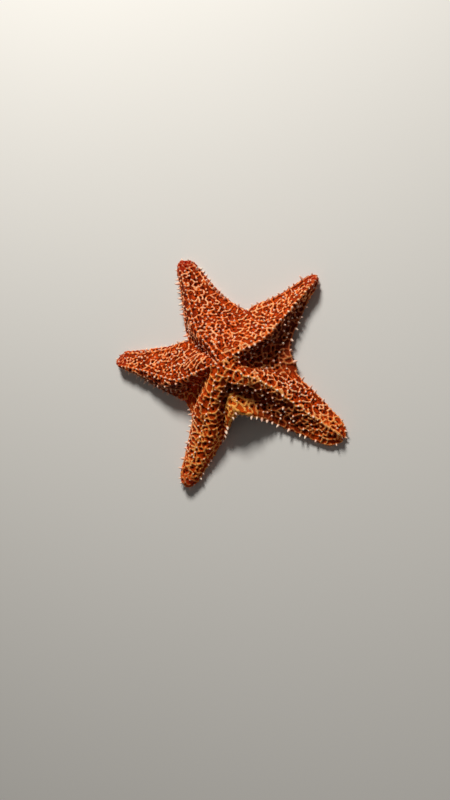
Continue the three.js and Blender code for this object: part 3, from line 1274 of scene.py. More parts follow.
@dataclass(frozen=True)
class Foothold:
    """Where one peg stands and which way it points, with its size against the template.

    patch is where on the flattened skin it is baked, and tone where between its finish's two colours it lies.
    """

    foot: np.ndarray
    direction: np.ndarray
    girth: float
    height: float
    patch: Vector
    tone: float

    def matrix(self) -> Matrix:
        """Gives the transform that stands the template there."""
        turn = Vector(self.direction).to_track_quat("Z", "Y").to_matrix().to_4x4()
        size = Matrix.Diagonal((self.girth, self.girth, self.height, 1.0))
        return Matrix.Translation(Vector(self.foot)) @ turn @ size


def plant(name: str, peg: Peg, holds: Iterable[Foothold], material: bpy.types.Material) -> None:
    """Stands a peg in every foothold and joins them into one piece, just clear of the floor.

    Args:
        name: The piece's name.
        peg: The peg.
        holds: Where it stands, each with its own tone and bake patch.
        material: The pegs' finish.
    """
    template = peg.template()
    count = len(template.vertices)
    flat = np.empty(len(template.loops) * 2, np.float32)
    template.uv_layers[BAKE_MAP].uv.foreach_get("vector", flat)
    patch = flat.reshape(-1, 2)
    build = bmesh.new()
    for hold in holds:
        piece = template.copy()
        piece.transform(hold.matrix())
        mark(piece, "tone", np.full(count, hold.tone))
        piece.uv_layers[BAKE_MAP].uv.foreach_set("vector", (patch + np.array(hold.patch)).ravel())
        build.from_mesh(piece)
        bpy.data.meshes.remove(piece)
    bpy.data.meshes.remove(template)
    mesh = mesh_from(build, name)
    points = positions_of(mesh)
    points[:, 2] = np.maximum(points[:, 2], CLEARANCE)
    move_to(mesh, points)
    finished(name, mesh, material)


@dataclass
class Armour:
    """Everything that stands on the skin, in metres.

    share is the share of the knots that have a tubercle where the net is pink and where it is yellow, and
    size_odds how often each of sizes comes up. Where the net's painted shade is past a set level, a share and
    sizes of their own hold instead. keel_tip and margin_tip say from where along an arm the spines are
    smaller, and how small.
    Granules stand where the skin faces down by steepest or more, granule_clear or more off the floor. girths
    and heights hold the least and the greatest size of a peg against its kind's.
    """

    form: Form
    net: Net
    tubercle: Peg = Peg(radius=1.05 * MM, length=2.0 * MM, profile=(1.0, 0.88, 0.68, 0.4), sides=7)
    keel_spine: Peg = Peg(radius=1.35 * MM, length=3.0 * MM, profile=(1.0, 0.82, 0.62, 0.4), sides=9)
    margin_spine: Peg = Peg(radius=1.45 * MM, length=4.8 * MM, profile=(1.0, 0.88, 0.7, 0.42), sides=9)
    granule: Peg = Peg(radius=0.95 * MM, length=0.95 * MM, profile=(1.0, 0.92, 0.66), sides=8)
    tubercle_seed: int = 31
    keel_seed: int = 32
    margin_seed: int = 43
    sole_seed: int = 36
    share: tuple[float, float] = (0.85, 0.35)
    sizes: tuple[float, float, float] = (0.6, 0.8, 1.1)
    size_odds: tuple[float, float, float] = (0.4, 0.3, 0.3)
    # Where the net's painted shade is past the first of these, the tubercles follow the next two.
    painted_shade_from: float = 0.35
    share_in_painted_shade: float = 0.45
    sizes_in_painted_shade: tuple[float, float] = (0.95, 1.3)
    tubercle_lift: float = 0.45 * MM
    keel_tip: tuple[float, float] = (0.75, 0.62)
    keel_lift: float = 0.4 * MM
    margin_tip: tuple[float, float] = (0.85, 0.68)
    margin_lift: float = 0.5 * MM
    margin_share: float = 0.72
    granule_spacing: float = 2.3 * MM
    granule_clear: float = 1.0 * MM
    steepest: float = -0.5
    tries: int = 30_000
    girths: tuple[float, float] = (0.7, 1.3)
    heights: tuple[float, float] = (0.6, 1.4)

    def hold(
        self,
        vertex: int,
        rng: np.random.Generator,
        lift: float = 0.0,
        lean: np.ndarray | None = None,
        size: float = 1.0,
        scatter: float = 0.12,
    ) -> Foothold:
        """Finds the foothold of a peg on a vertex of the body.

        Args:
            vertex: The body's vertex.
            rng: The source of the small differences between pegs.
            lift: How far its foot stands off the bare body.
            lean: What is added to the way that the skin faces there.
            size: Its size against the template.
            scatter: How much sizes and directions differ.

        Returns:
            The foothold.
        """
        normal = self.form.normals[vertex]
        way = normal + rng.normal(0.0, scatter, 3)
        if lean is not None:
            way = way + lean
        spread = 1.0 + rng.normal(0.0, scatter, 2)
        return Foothold(
            foot=self.form.points[vertex] + normal * lift,
            direction=unit(way),
            girth=size * float(np.clip(spread[0], *self.girths)),
            height=size * float(np.clip(spread[1], *self.heights)),
            patch=self.form.bake_place(vertex),
            tone=float(rng.random()),
        )

    def tubercles(self, material: bpy.types.Material) -> None:
        """Stands small pale tubercles on the knots, fewer where the net is yellow, larger where painted shade
        darkens the net.
        """
        rng = np.random.default_rng(self.tubercle_seed)
        painted_shade = self.form.painted_shade()
        holds = []
        for knot in self.net.knots:
            if knot.row not in (Row.FIELD, Row.FLANK):
                continue
            dark = painted_shade[knot.vertex] > self.painted_shade_from
            share = self.share_in_painted_shade if dark else mixed(*self.share, self.net.gold[knot.vertex])
            if rng.random() < share:
                size = rng.uniform(*self.sizes_in_painted_shade) if dark else rng.choice(self.sizes, p=self.size_odds)
                size *= min(1.0, knot.spacing / self.net.pitch)
                holds.append(self.hold(knot.vertex, rng, self.tubercle_lift, size=size, scatter=0.16))
        plant("tubercles", self.tubercle, holds, material)

    def slighter(self, vertex: int, tip: tuple[float, float]) -> float:
        """Gives the size of a spine: tip's second value past its first along the arm, and 1 before."""
        return 1.0 if self.form.along[vertex] < tip[0] else tip[1]

    def keel_spines(self, material: bpy.types.Material) -> None:
        """Stands a row of stouter spines along every keel."""
        rng = np.random.default_rng(self.keel_seed)
        holds = []
        for knot in self.net.knots:
            if knot.row is Row.KEEL:
                size = self.slighter(knot.vertex, self.keel_tip) * rng.uniform(0.8, 1.1)
                holds.append(self.hold(knot.vertex, rng, self.keel_lift, size=size))
        plant("keel_spines", self.keel_spine, holds, material)

    def margin_spines(self, material: bpy.types.Material) -> None:
        """Stands spines in two rows round the whole margin, the lower row clear of the floor."""
        for row, lean, size in ((Row.UPPER_MARGIN, 0.1, 1.0), (Row.LOWER_MARGIN, 0.45, 0.8)):
            rng = np.random.default_rng(self.margin_seed)
            holds = []
            for knot in self.net.knots:
                if knot.row is not row or rng.random() > self.margin_share:
                    continue
                grown = size * self.slighter(knot.vertex, self.margin_tip) * rng.uniform(0.85, 1.1)
                up = np.array([0.0, 0.0, lean])
                holds.append(self.hold(knot.vertex, rng, self.margin_lift, up, grown))
            plant(f"{row.value}_spines", self.margin_spine, holds, material)

    def granules(self, material: bpy.types.Material) -> None:
        """Paves the underside between margins and grooves with low granules that stay off the floor."""
        form = self.form
        rng = np.random.default_rng(self.sole_seed)
        under = np.flatnonzero((form.down > COURSE.sole[0]) & (form.down < COURSE.groove_spines))
        ground = Ground(self.granule_spacing)
        holds = []
        for vertex in rng.permutation(under)[: self.tries]:
            point = form.points[vertex]
            if form.normals[vertex][2] > self.steepest or point[2] < self.granule_clear:
                continue
            if ground.free(point, self.granule_spacing):
                ground.take(point)
                holds.append(self.hold(vertex, rng, scatter=0.1))
        plant("sole_granules", self.granule, holds, material)


# ---- The grooves ----


@dataclass
class Grooves:
    """The spines along the grooves under the arms and the tube feet in them, in metres.

    bare is how many section lines at the notch and at the tip have none, clear how far the feet stay off
    the floor, and shortest and longest how far they can be from their full length.
    """

    form: Form
    seed: int = 61
    bare: tuple[int, int] = (3, 6)
    clear: float = 0.35 * MM
    shortest: float = 0.25
    longest: float = 1.15
    groove_spine: Peg = Peg(radius=0.5 * MM, length=2.3 * MM, profile=(1.0, 1.0, 0.88, 0.6), sides=6)
    rim_spine: Peg = Peg(radius=0.65 * MM, length=1.6 * MM, profile=(1.0, 0.95, 0.78, 0.5), sides=6)
    tube_foot: Peg = Peg(
        radius=0.8 * MM, length=3.6 * MM, profile=(1.0, 0.78, 0.62, 0.6, 0.7, 1.02, 1.1, 0.7), sides=9
    )

    def row(
        self, step: int, pace: float, inward: float, down: float, reach: float | None = None
    ) -> list[Foothold]:
        """Finds footholds along one section line of every half arm.

        Args:
            step: How far down the section lines the row runs.
            pace: The space between pegs.
            inward: How much they point to the arm's axis, or away from it below 0.
            down: How much they point down.
            reach: The peg's length, where it shortens to stay off the floor.

        Returns:
            The footholds.
        """
        rng = np.random.default_rng(self.seed + step)
        holds = []
        for lattice in self.form.lattices:
            places = paced(lattice[self.bare[0] : -self.bare[1], step], pace) + self.bare[0]
            feet = between(lattice[:, step], places)
            axis = between(lattice[:, -1], places)
            for foot, centre in zip(feet, axis):
                aside = (centre - foot) * (1.0, 1.0, 0.0)
                way = unit(aside) * inward + np.array([0.0, 0.0, -down]) + rng.normal(0.0, 0.1, 3)
                room = 1.0 if reach is None else min(self.longest, (foot[2] - self.clear) / reach)
                _, vertex, _ = self.form.tree.find(foot.tolist())
                holds.append(
                    Foothold(
                        foot=foot,
                        direction=unit(way),
                        girth=float(rng.uniform(0.88, 1.1)),
                        height=max(self.shortest, room) * float(rng.uniform(0.85, 1.0)),
                        patch=self.form.bake_place(vertex),
                        tone=float(rng.random()),
                    )
                )
        return holds

    def build(self, spines: bpy.types.Material, feet: bpy.types.Material) -> None:
        """Stands two rows of spines along each side of the grooves, and a row of feet in each side.

        Args:
            spines: The spines' finish.
            feet: The tube feet's finish.
        """
        inner = self.row(COURSE.groove_spines, pace=1.55 * MM, inward=1.0, down=0.25)
        plant("groove_spines", self.groove_spine, inner, spines)
        outer = self.row(COURSE.rim_spines, pace=2.1 * MM, inward=-1.0, down=0.12)
        plant("rim_spines", self.rim_spine, outer, spines)
        length = self.tube_foot.length
        deep = self.row(COURSE.tube_feet, pace=2.3 * MM, inward=-0.1, down=1.0, reach=length)
        plant("tube_feet", self.tube_foot, deep, feet)


# ---- The sieve plate and the mouth ----


def round_sheet(build: bmesh.types.BMesh, steps: int) -> list[bmesh.types.BMVert]:
    """Adds a flat round sheet with a radius of 1 and even, squarish faces.

    Args:
        build: What to add it to.
        steps: How many faces lie across it.

    Returns:
        Its vertices.
    """
    made = bmesh.ops.create_grid(build, x_segments=steps, y_segments=steps, size=1.0)["verts"]
    for vert in made:
        x, y = vert.co.x, vert.co.y
        vert.co.x = x * math.sqrt(1.0 - y * y / 2.0)
        vert.co.y = y * math.sqrt(1.0 - x * x / 2.0)
    return made


def close_rim(build: bmesh.types.BMesh, shift: Vector) -> None:
    """Closes an open sheet by carrying its rim along and filling it.

    Args:
        build: What holds the sheet, and nothing else.
        shift: How far the rim is carried.
    """
    rim = [edge for edge in build.edges if edge.is_boundary]
    made = bmesh.ops.extrude_edge_only(build, edges=rim)["geom"]
    verts = [item for item in made if isinstance(item, bmesh.types.BMVert)]
    edges = [item for item in made if isinstance(item, bmesh.types.BMEdge)]
    bmesh.ops.translate(build, vec=shift, verts=verts)
    bmesh.ops.holes_fill(build, edges=edges)
    bmesh.ops.recalc_face_normals(build, faces=build.faces)


@dataclass
class SievePlate:
    """The grooved plate beside the summit, through which a sea star takes in water, in metres.

    dome is how high it stands, sunk how deep its rim lies and wall how much deeper its back. Its grooves are
    groove deep and wave apart.
    """

    form: Form
    radius: float = 3.1 * MM
    dome: float = 1.2 * MM
    sunk: float = 0.9 * MM
    wall: float = 0.3 * MM
    groove: float = 0.24 * MM
    wave: float = 0.68 * MM
    waves: int = 9
    steps: int = 84
    seed: int = 41

    def vertex(self) -> int:
        """Finds the body's vertex that the plate sits on."""
        low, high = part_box("madreporite")
        return self.form.tree.find((low + high) / 2)[1]

    def grooves(self, points: np.ndarray) -> np.ndarray:
        """Gives how deep the winding grooves are at each point of the plate, from 0 to 1."""
        rng = np.random.default_rng(self.seed)
        x, y = points[:, 0], points[:, 1]
        turns = (np.arange(self.waves) + rng.uniform(-0.3, 0.3, self.waves)) * math.pi / self.waves
        total = sum(
            np.cos((x * math.cos(turn) + y * math.sin(turn)) * 2.0 * math.pi / self.wave + shift)
            for turn, shift in zip(turns, rng.uniform(0.0, 2.0 * math.pi, self.waves))
        )
        return smooth_step(total / math.sqrt(self.waves / 2), -0.15, 0.75)

    def build(self, material: bpy.types.Material) -> None:
        """Models the plate and sets it into the skin.

        Args:
            material: Its finish.
        """
        build = bmesh.new()
        for vert in round_sheet(build, self.steps):
            off = min(1.0, vert.co.xy.length)
            rise = (self.dome + self.sunk) * math.sqrt(1.0 - off**4) - self.sunk
            vert.co = Vector((vert.co.x * self.radius, vert.co.y * self.radius, rise))
        close_rim(build, Vector((0.0, 0.0, -self.wall)))
        mesh = mesh_from(build, "sieve_plate")
        points = positions_of(mesh)
        depth = self.grooves(points)
        move_to(mesh, points - normals_of(mesh) * (depth * self.groove)[:, None])
        mark(mesh, "groove", depth)
        vertex = self.vertex()
        way = Vector(self.form.normals[vertex]).to_track_quat("Z", "Y").to_matrix().to_4x4()
        mesh.transform(Matrix.Translation(Vector(self.form.points[vertex])) @ way)
        plate = finished("sieve_plate", mesh, material)
        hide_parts("madreporite")


@dataclass
class Mouth:
    """The skin round the mouth, with a pair of jaws at every notch and their spines, in metres.

    level is how far the skin's rim lies above the bottom of the jaws, funnel how much higher its middle is,
    throat how far the opening goes up beyond that, and wall how far up the skin's back lies. jaw holds half
    a jaw's length, width and height, and splay is how far it stands from the notch, in degrees.
    """

    form: Form
    radius: float = 7.9 * MM
    level: float = 3.8 * MM
    funnel: float = 1.6 * MM
    throat: float = 2.4 * MM
    wall: float = 6.4 * MM
    opening: float = 0.2
    folds: int = 15
    fold: float = 0.3 * MM
    steps: int = 72
    jaw: tuple[float, float, float] = (3.6 * MM, 1.35 * MM, 1.7 * MM)
    jaw_at: float = 6.4 * MM
    splay: float = 11.0
    spine_fan: float = 0.16
    spine: Peg = Peg(radius=0.5 * MM, length=2.5 * MM, profile=(1.0, 0.95, 0.8, 0.55), sides=7)
    seed: int = 71

    def skin(self, build: bmesh.types.BMesh, bottom: float) -> None:
        """Adds the folded skin, drawn in to the mouth."""
        for vert in round_sheet(build, self.steps):
            off = min(1.0, vert.co.xy.length)
            facing = math.atan2(vert.co.y, vert.co.x)
            wave = math.cos(self.folds * facing + 2.0 * math.sin(3.0 * facing))
            height = self.level + self.funnel * (1.0 - off) ** 2
            height += self.fold * wave * math.sin(math.pi * off**0.6)
            height += self.throat * math.exp(-((off / self.opening) ** 2))
            vert.co = Vector((vert.co.x * self.radius, vert.co.y * self.radius, bottom + height))
        close_rim(build, Vector((0.0, 0.0, self.wall)))

    def jaws(self) -> list[tuple[float, Matrix]]:
        """Gives the way that each jaw faces, in radians, and the transform that places it."""
        found = []
        for notch in NOTCHES:
            for side in (-1, 1):
                turn = math.radians(notch.azimuth + side * self.splay)
                place = Matrix.Rotation(turn, 4, "Z") @ Matrix.Translation((self.jaw_at, 0.0, self.jaw[2]))
                lean = Matrix.Rotation(math.radians(-side * self.splay), 4, "Z")
                found.append((turn, place @ lean @ Matrix.Diagonal((*self.jaw, 1.0))))
        return found

    def spines(self, bottom: float) -> list[Foothold]:
        """Finds the footholds of the spines that close over the mouth from the inner ends of the jaws."""
        rng = np.random.default_rng(self.seed)
        holds = []
        for turn, _ in self.jaws():
            for aside in (-1.0, -0.35, 0.35, 1.0):
                spread = turn + self.spine_fan * aside
                off = self.jaw_at - self.jaw[0] * (0.8 - 0.3 * abs(aside))
                foot = np.array([off * math.cos(spread), off * math.sin(spread), 0.7 * self.jaw[2]])
                way = np.array([-math.cos(spread), -math.sin(spread), -0.35]) + rng.normal(0.0, 0.08, 3)
                foot += np.array([self.form.middle.x, self.form.middle.y, bottom])
                _, vertex, _ = self.form.tree.find(foot.tolist())
                size = float(rng.uniform(0.85, 1.1))
                patch = self.form.bake_place(vertex)
                holds.append(Foothold(foot, unit(way), size, size, patch, float(rng.random())))
        return holds

    def build(self, material: bpy.types.Material, spines: bpy.types.Material) -> None:
        """Models the mouth and its spines.

        Args:
            material: The finish of the skin and the jaws.
            spines: The finish of the spines.
        """
        low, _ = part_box("mouth")
        build = bmesh.new()
        self.skin(build, low.z)
        for _, place in self.jaws():
            raised = Matrix.Translation((0.0, 0.0, low.z)) @ place
            bmesh.ops.create_uvsphere(build, u_segments=20, v_segments=14, radius=1.0, matrix=raised)
        mesh = mesh_from(build, "mouth")
        points = positions_of(mesh)
        off = np.hypot(points[:, 0], points[:, 1]) / self.radius
        # Marks where the mouth goes in, which the finish paints dark as painted shade.
        mark(mesh, "deep", 1.0 - smooth_step(off, 0.5 * self.opening, 1.6 * self.opening))
        mesh.transform(Matrix.Translation(self.form.middle))
        mouth = finished("mouth", mesh, material)
        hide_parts("mouth")
        plant("mouth_spines", self.spine, self.spines(low.z), spines)


# ---- Finishes ----


@dataclass
class Bench:
    """Adds nodes to one material and wires them together."""

    material: bpy.types.Material

    @classmethod
    def named(cls, name: str) -> "Bench":
        """Starts a new material with no nodes."""
        material = bpy.data.materials.new(name)
        material.use_nodes = True
        material.node_tree.nodes.clear()
        return cls(material)

    def add(self, kind: str, **settings: object) -> bpy.types.Node:
        """Adds a node and sets its own properties."""
        node = self.material.node_tree.nodes.new(kind)
        for name, value in settings.items():
            setattr(node, name, value)
        return node

    def feed(self, target: bpy.types.NodeSocket, value: object) -> None:
        """Links a socket to an input, or sets the input's own value."""
        if isinstance(value, bpy.types.NodeSocket):
            self.material.node_tree.links.new(value, target)
        else:
            target.default_value = value

    def place(self) -> bpy.types.NodeSocket:
        """Gives the Object coordinates."""
        return self.add("ShaderNodeTexCoord").outputs["Object"]

    def mark(self, name: str) -> bpy.types.NodeSocket:
        """Reads a value that the mesh carries."""
        return self.add("ShaderNodeAttribute", attribute_name=name).outputs["Fac"]

    def noise(self, size: float, detail: float = 2.0, rough: float = 0.5) -> bpy.types.NodeSocket:
        """Makes noise.

        Args:
            size: The size of its blots, in metres.
            detail: How many finer layers it has.
            rough: How strong those are.

        Returns:
            Its value, from 0 to 1.
        """
        node = self.add("ShaderNodeTexNoise")
        self.feed(node.inputs["Vector"], self.place())
        self.feed(node.inputs["Scale"], 1.0 / size)
        self.feed(node.inputs["Detail"], detail)
        self.feed(node.inputs["Roughness"], rough)
        return node.outputs["Fac"]

    def cells(self, size: float) -> bpy.types.NodeSocket:
        """Makes rounded grains.

        Args:
            size: The size of a grain, in metres.

        Returns:
            The distance from the middle of the grain, in grains.
        """
        node = self.add("ShaderNodeTexVoronoi")
        self.feed(node.inputs["Vector"], self.place())
        self.feed(node.inputs["Scale"], 1.0 / size)
        return node.outputs["Distance"]

    def graded(
        self, value: bpy.types.NodeSocket, low: float, high: float, start: float = 0.0, end: float = 1.0
    ) -> bpy.types.NodeSocket:
        """Grades a value smoothly from one range to another.

        Args:
            value: The value.
            low: Where it starts to rise.
            high: Where it stops.
            start: The result at and below low.
            end: The result at and above high.

        Returns:
            The graded value.
        """
        node = self.add("ShaderNodeMapRange", interpolation_type="SMOOTHSTEP")
        limits = {"From Min": low, "From Max": high, "To Min": start, "To Max": end}
        for name, number in limits.items():
            self.feed(node.inputs[name], number)
        self.feed(node.inputs["Value"], value)
        return node.outputs["Result"]

    def worked(self, operation: str, a: object, b: object) -> bpy.types.NodeSocket:
        """Combines two values by arithmetic, clamped to 0 to 1."""
        node = self.add("ShaderNodeMath", operation=operation, use_clamp=True)
        self.feed(node.inputs[0], a)
        self.feed(node.inputs[1], b)
        return node.outputs[0]

    def plus(self, a: object, b: object) -> bpy.types.NodeSocket:
        """Adds two values, clamped to 0 to 1."""
        return self.worked("ADD", a, b)

    def times(self, a: object, b: object) -> bpy.types.NodeSocket:
        """Multiplies two values, clamped to 0 to 1."""
        return self.worked("MULTIPLY", a, b)

    def blend(self, share: object, a: object, b: object) -> bpy.types.NodeSocket:
        """Mixes two colours.

        Args:
            share: How much of the second.
            a: The first colour or socket.
            b: The second colour or socket.

        Returns:
            The mixed colour.
        """
        node = self.add("ShaderNodeMix", data_type="RGBA", blend_type="MIX")
        self.feed(node.inputs[0], share)
        self.feed(node.inputs[6], a)
        self.feed(node.inputs[7], b)
        return node.outputs[2]

    def bump(
        self, height: bpy.types.NodeSocket, depth: float, before: bpy.types.NodeSocket | None = None
    ) -> bpy.types.NodeSocket:
        """Turns a height into a bump.

        Args:
            height: The height, from 0 to 1.
            depth: How high 1 stands, in metres.
            before: A bump to add to.

        Returns:
            The bumped normal.
        """
        node = self.add("ShaderNodeBump")
        self.feed(node.inputs["Height"], height)
        self.feed(node.inputs["Distance"], depth)
        self.feed(node.inputs["Strength"], 1.0)
        if before is not None:
            self.feed(node.inputs["Normal"], before)
        return node.outputs["Normal"]

    def surface(self, **sockets: object) -> bpy.types.Material:
        """Closes the material with the main shader.

        Args:
            **sockets: The shader's inputs, with _ for a space.

        Returns:
            The material.
        """
        shader = self.add("ShaderNodeBsdfPrincipled")
        for name, value in sockets.items():
            self.feed(shader.inputs[name.replace("_", " ")], value)
        output = self.add("ShaderNodeOutputMaterial")
        self.feed(output.inputs["Surface"], shader.outputs["BSDF"])
        return self.material


@dataclass(frozen=True)
class Palette:
    """The colours of the sea star and of the studio, as shares of red, green and blue light."""

    cell: Colour = (0.30, 0.014, 0.001, 1.0)
    # Dark red, for random flecks in the cells and for the painted shade beside the bars.
    cell_dark: Colour = (0.045, 0.003, 0.001, 1.0)
    # Painted shade on the cells of flanks that face away from the light.
    cell_painted_shade: Colour = (0.11, 0.012, 0.004, 1.0)
    cell_warm: Colour = (0.85, 0.080, 0.004, 1.0)
    # Cells on the shelf's margin, yellower and lighter: partly their own yellow, partly painted light.
    cell_rim_yellow_and_painted_light: Colour = (0.62, 0.095, 0.006, 1.0)
    bar_root: Colour = (0.82, 0.13, 0.012, 1.0)
    bar_pink: Colour = (0.97, 0.36, 0.13, 1.0)
    bar_pink_pale: Colour = (1.0, 0.64, 0.40, 1.0)
    bar_gold: Colour = (1.0, 0.25, 0.028, 1.0)
    bar_gold_pale: Colour = (1.0, 0.52, 0.14, 1.0)
    # Bars on the shelf's margin: partly their own yellow, partly painted light.
    bar_rim_yellow_and_painted_light: Colour = (1.0, 0.45, 0.09, 1.0)
    # Painted shade on the bars of flanks that face away from the light.
    painted_shade: Colour = (0.26, 0.055, 0.02, 1.0)
    gleam: Colour = (1.0, 0.50, 0.25, 1.0)
    tip: Colour = (0.40, 0.016, 0.006, 1.0)
    # Painted shade: the near-black painted into the pits.
    pit: Colour = (0.02, 0.004, 0.002, 1.0)
    under: Colour = (0.80, 0.36, 0.13, 1.0)
    under_pale: Colour = (0.90, 0.56, 0.28, 1.0)
    cream: Colour = (1.0, 0.83, 0.66, 1.0)
    pink: Colour = (0.97, 0.58, 0.45, 1.0)
    foot: Colour = (0.86, 0.50, 0.20, 1.0)
    foot_pale: Colour = (0.95, 0.76, 0.46, 1.0)
    sieve: Colour = (0.62, 0.18, 0.045, 1.0)
    sieve_pale: Colour = (0.82, 0.34, 0.13, 1.0)
    # Painted shade in the sieve plate's grooves.
    sieve_groove_painted_shade: Colour = (0.24, 0.03, 0.006, 1.0)
    mouth: Colour = (0.72, 0.30, 0.14, 1.0)
    mouth_pale: Colour = (0.88, 0.55, 0.34, 1.0)
    # Painted shade where the mouth goes in.
    mouth_painted_shade: Colour = (0.10, 0.015, 0.008, 1.0)
    floor: Colour = (0.74, 0.73, 0.70, 1.0)
    floor_pale: Colour = (0.78, 0.77, 0.745, 1.0)
    light: Colour = (1.0, 0.97, 0.92, 1.0)


PALETTE = Palette()


@dataclass(frozen=True)
class SkinFinish:
    """Red-orange cells between pink and yellow bars, dark red arm tips and a paler underside.

    It reads the skin's own marks: where a bar or a pit is, how yellow or pale it is, how much painted shade
    darkens it, and where the margin painted yellower and lighter, the tips and the underside are. Painted
    shade darkens the pits, the cells beside the bars and the flanks that face away from the light, and
    painted light brightens the margin of the raised shelf.
    """

    blot: float = 7.0 * MM
    fleck: float = 1.3 * MM
    grain: float = 0.75 * MM
    grain_depth: float = 0.16 * MM
    fleck_depth: float = 0.35 * MM

    def cell(self, bench: Bench, flecks: bpy.types.NodeSocket) -> bpy.types.NodeSocket:
        """Colours the cells, darkest where painted shade lies beside the bars and on flanks facing away from
        the light, warmer where the net is yellow.
        """
        gold, painted_shade, rim = bench.mark("gold"), bench.mark("painted_shade"), bench.mark("rim")
        blots = bench.graded(bench.noise(self.blot, 3.0, 0.6), 0.36, 0.62)
        cell = bench.blend(blots, PALETTE.cell, PALETTE.cell_warm)
        cell = bench.blend(bench.graded(flecks, 0.56, 0.4, 0.0, 0.9), cell, PALETTE.cell_dark)
        cell = bench.blend(bench.times(gold, 0.5), cell, PALETTE.cell_warm)
        # Painted shade beside the bars, broken up by the flecks and weaker where the net is yellow.
        painted_crease_shade = bench.times(bench.mark("painted_crease_shade"), bench.graded(flecks, 0.35, 0.6, 0.6, 1.0))
        painted_crease_shade = bench.times(painted_crease_shade, bench.graded(gold, 0.3, 0.8, 1.0, 0.35))
        cell = bench.blend(painted_crease_shade, cell, PALETTE.cell_dark)
        # Painted shade: the cells darken on flanks that face away from the light.
        cell = bench.blend(bench.times(painted_shade, 1.15), cell, PALETTE.cell_painted_shade)
        # The shelf's margin: cells painted yellower and lighter, partly as painted light.
        cell = bench.blend(bench.times(rim, 0.6), cell, PALETTE.cell_rim_yellow_and_painted_light)
        return bench.blend(bench.times(bench.mark("tip"), 0.8), cell, PALETTE.tip)

    def bar(self, bench: Bench, flecks: bpy.types.NodeSocket) -> bpy.types.NodeSocket:
        """Colours the bars, from pink to yellow, redder at their feet and where they are weak."""
        gold, painted_shade, rim = bench.mark("gold"), bench.mark("painted_shade"), bench.mark("rim")
        streaks = bench.graded(flecks, 0.4, 0.6)
        pink = bench.blend(streaks, PALETTE.bar_pink, PALETTE.bar_pink_pale)
        yellow = bench.blend(streaks, PALETTE.bar_gold, PALETTE.bar_gold_pale)
        bar = bench.blend(gold, pink, yellow)
        paleness = bench.plus(bench.mark("pale"), bench.graded(flecks, 0.25, 0.75, -0.2, 0.2))
        # The shelf's margin: bars paler and yellower, partly as painted light.
        paleness = bench.plus(paleness, bench.times(rim, 0.3))
        paleness = bench.plus(paleness, bench.times(gold, 0.08))
        bar = bench.blend(bench.graded(paleness, 0.38, 0.74), PALETTE.bar_root, bar)
        bar = bench.blend(bench.times(rim, 0.7), bar, PALETTE.bar_rim_yellow_and_painted_light)
        # Painted shade: the bars darken on flanks that face away from the light.
        return bench.blend(painted_shade, bar, PALETTE.painted_shade)

    def bar_share(self, bench: Bench, flecks: bpy.types.NodeSocket) -> bpy.types.NodeSocket:
        """Gives how much of a bar there is: none in a cell, with a ragged edge, and little at the tips."""
        edge = bench.plus(bench.mark("ridge"), bench.graded(flecks, 0.2, 0.8, -0.16, 0.16))
        # Wider bars on the shelf's margin, partly as painted light.
        edge = bench.plus(edge, bench.times(bench.mark("rim"), 0.15))
        kept = bench.graded(bench.mark("tip"), 0.0, 1.0, 1.0, 0.2)
        return bench.times(bench.graded(edge, 0.34, 0.6), kept)

    def material(self) -> bpy.types.Material:
        """Makes the material."""
        bench = Bench.named("sea_star_skin")
        flecks = bench.noise(self.fleck, 3.0, 0.65)
        upper = bench.blend(self.bar_share(bench, flecks), self.cell(bench, flecks), self.bar(bench, flecks))
        # Painted shade: the pits are painted near-black, the more the deeper they are.
        upper = bench.blend(bench.mark("pit"), upper, PALETTE.pit)
        sole = bench.blend(flecks, PALETTE.under, PALETTE.under_pale)
        colour = bench.blend(bench.mark("under"), upper, sole)
        normal = bench.bump(bench.graded(bench.cells(self.grain), 0.15, 0.6, 1.0, 0.0), self.grain_depth)
        normal = bench.bump(flecks, self.fleck_depth, normal)
        rough = bench.graded(flecks, 0.3, 0.7, 0.42, 0.62)
        return bench.surface(
            Base_Color=colour,
            Roughness=rough,
            Normal=normal,
            Specular_IOR_Level=0.07,
            Specular_Tint=PALETTE.gleam,
        )


@dataclass(frozen=True)
class PegFinish:
    """A peg that pales from its root to its top, between start and end of its height, no two quite alike."""

    name: str
    root: Colour
    top: Colour
    top_other: Colour
    start: float = 0.1
    end: float = 0.6
    rough: float = 0.45
    fleck: float = 0.7 * MM
    fleck_depth: float = 0.12 * MM

    def material(self) -> bpy.types.Material:
        """Makes the material."""
        bench = Bench.named(self.name)
        flecks = bench.noise(self.fleck, 2.0, 0.6)
        rise = bench.plus(bench.mark("rise"), bench.graded(flecks, 0.2, 0.8, -0.12, 0.12))
        top = bench.blend(bench.mark("tone"), self.top, self.top_other)
        colour = bench.blend(bench.graded(rise, self.start, self.end), self.root, top)
        normal = bench.bump(flecks, self.fleck_depth)
        rough = bench.graded(flecks, 0.3, 0.7, self.rough - 0.08, self.rough + 0.12)
        return bench.surface(Base_Color=colour, Roughness=rough, Normal=normal, Specular_IOR_Level=0.3)


@dataclass(frozen=True)
class SieveFinish:
    """A chalky plate, paler on its ridges than in its grooves, which are darkened as painted shade."""

    grain: float = 0.35 * MM
    grain_depth: float = 0.06 * MM

    def material(self) -> bpy.types.Material:
        """Makes the material."""
        bench = Bench.named("sieve_plate")
        flecks = bench.noise(self.grain, 3.0, 0.6)
        ridge = bench.blend(flecks, PALETTE.sieve, PALETTE.sieve_pale)
        deep = bench.plus(bench.mark("groove"), bench.graded(flecks, 0.2, 0.8, -0.15, 0.15))
        # Painted shade: the grooves are painted darker, the deeper they are.
        colour = bench.blend(bench.graded(deep, 0.2, 0.8), ridge, PALETTE.sieve_groove_painted_shade)
        rough = bench.graded(flecks, 0.3, 0.7, 0.6, 0.75)
        normal = bench.bump(flecks, self.grain_depth)
        return bench.surface(Base_Color=colour, Roughness=rough, Normal=normal, Specular_IOR_Level=0.15)


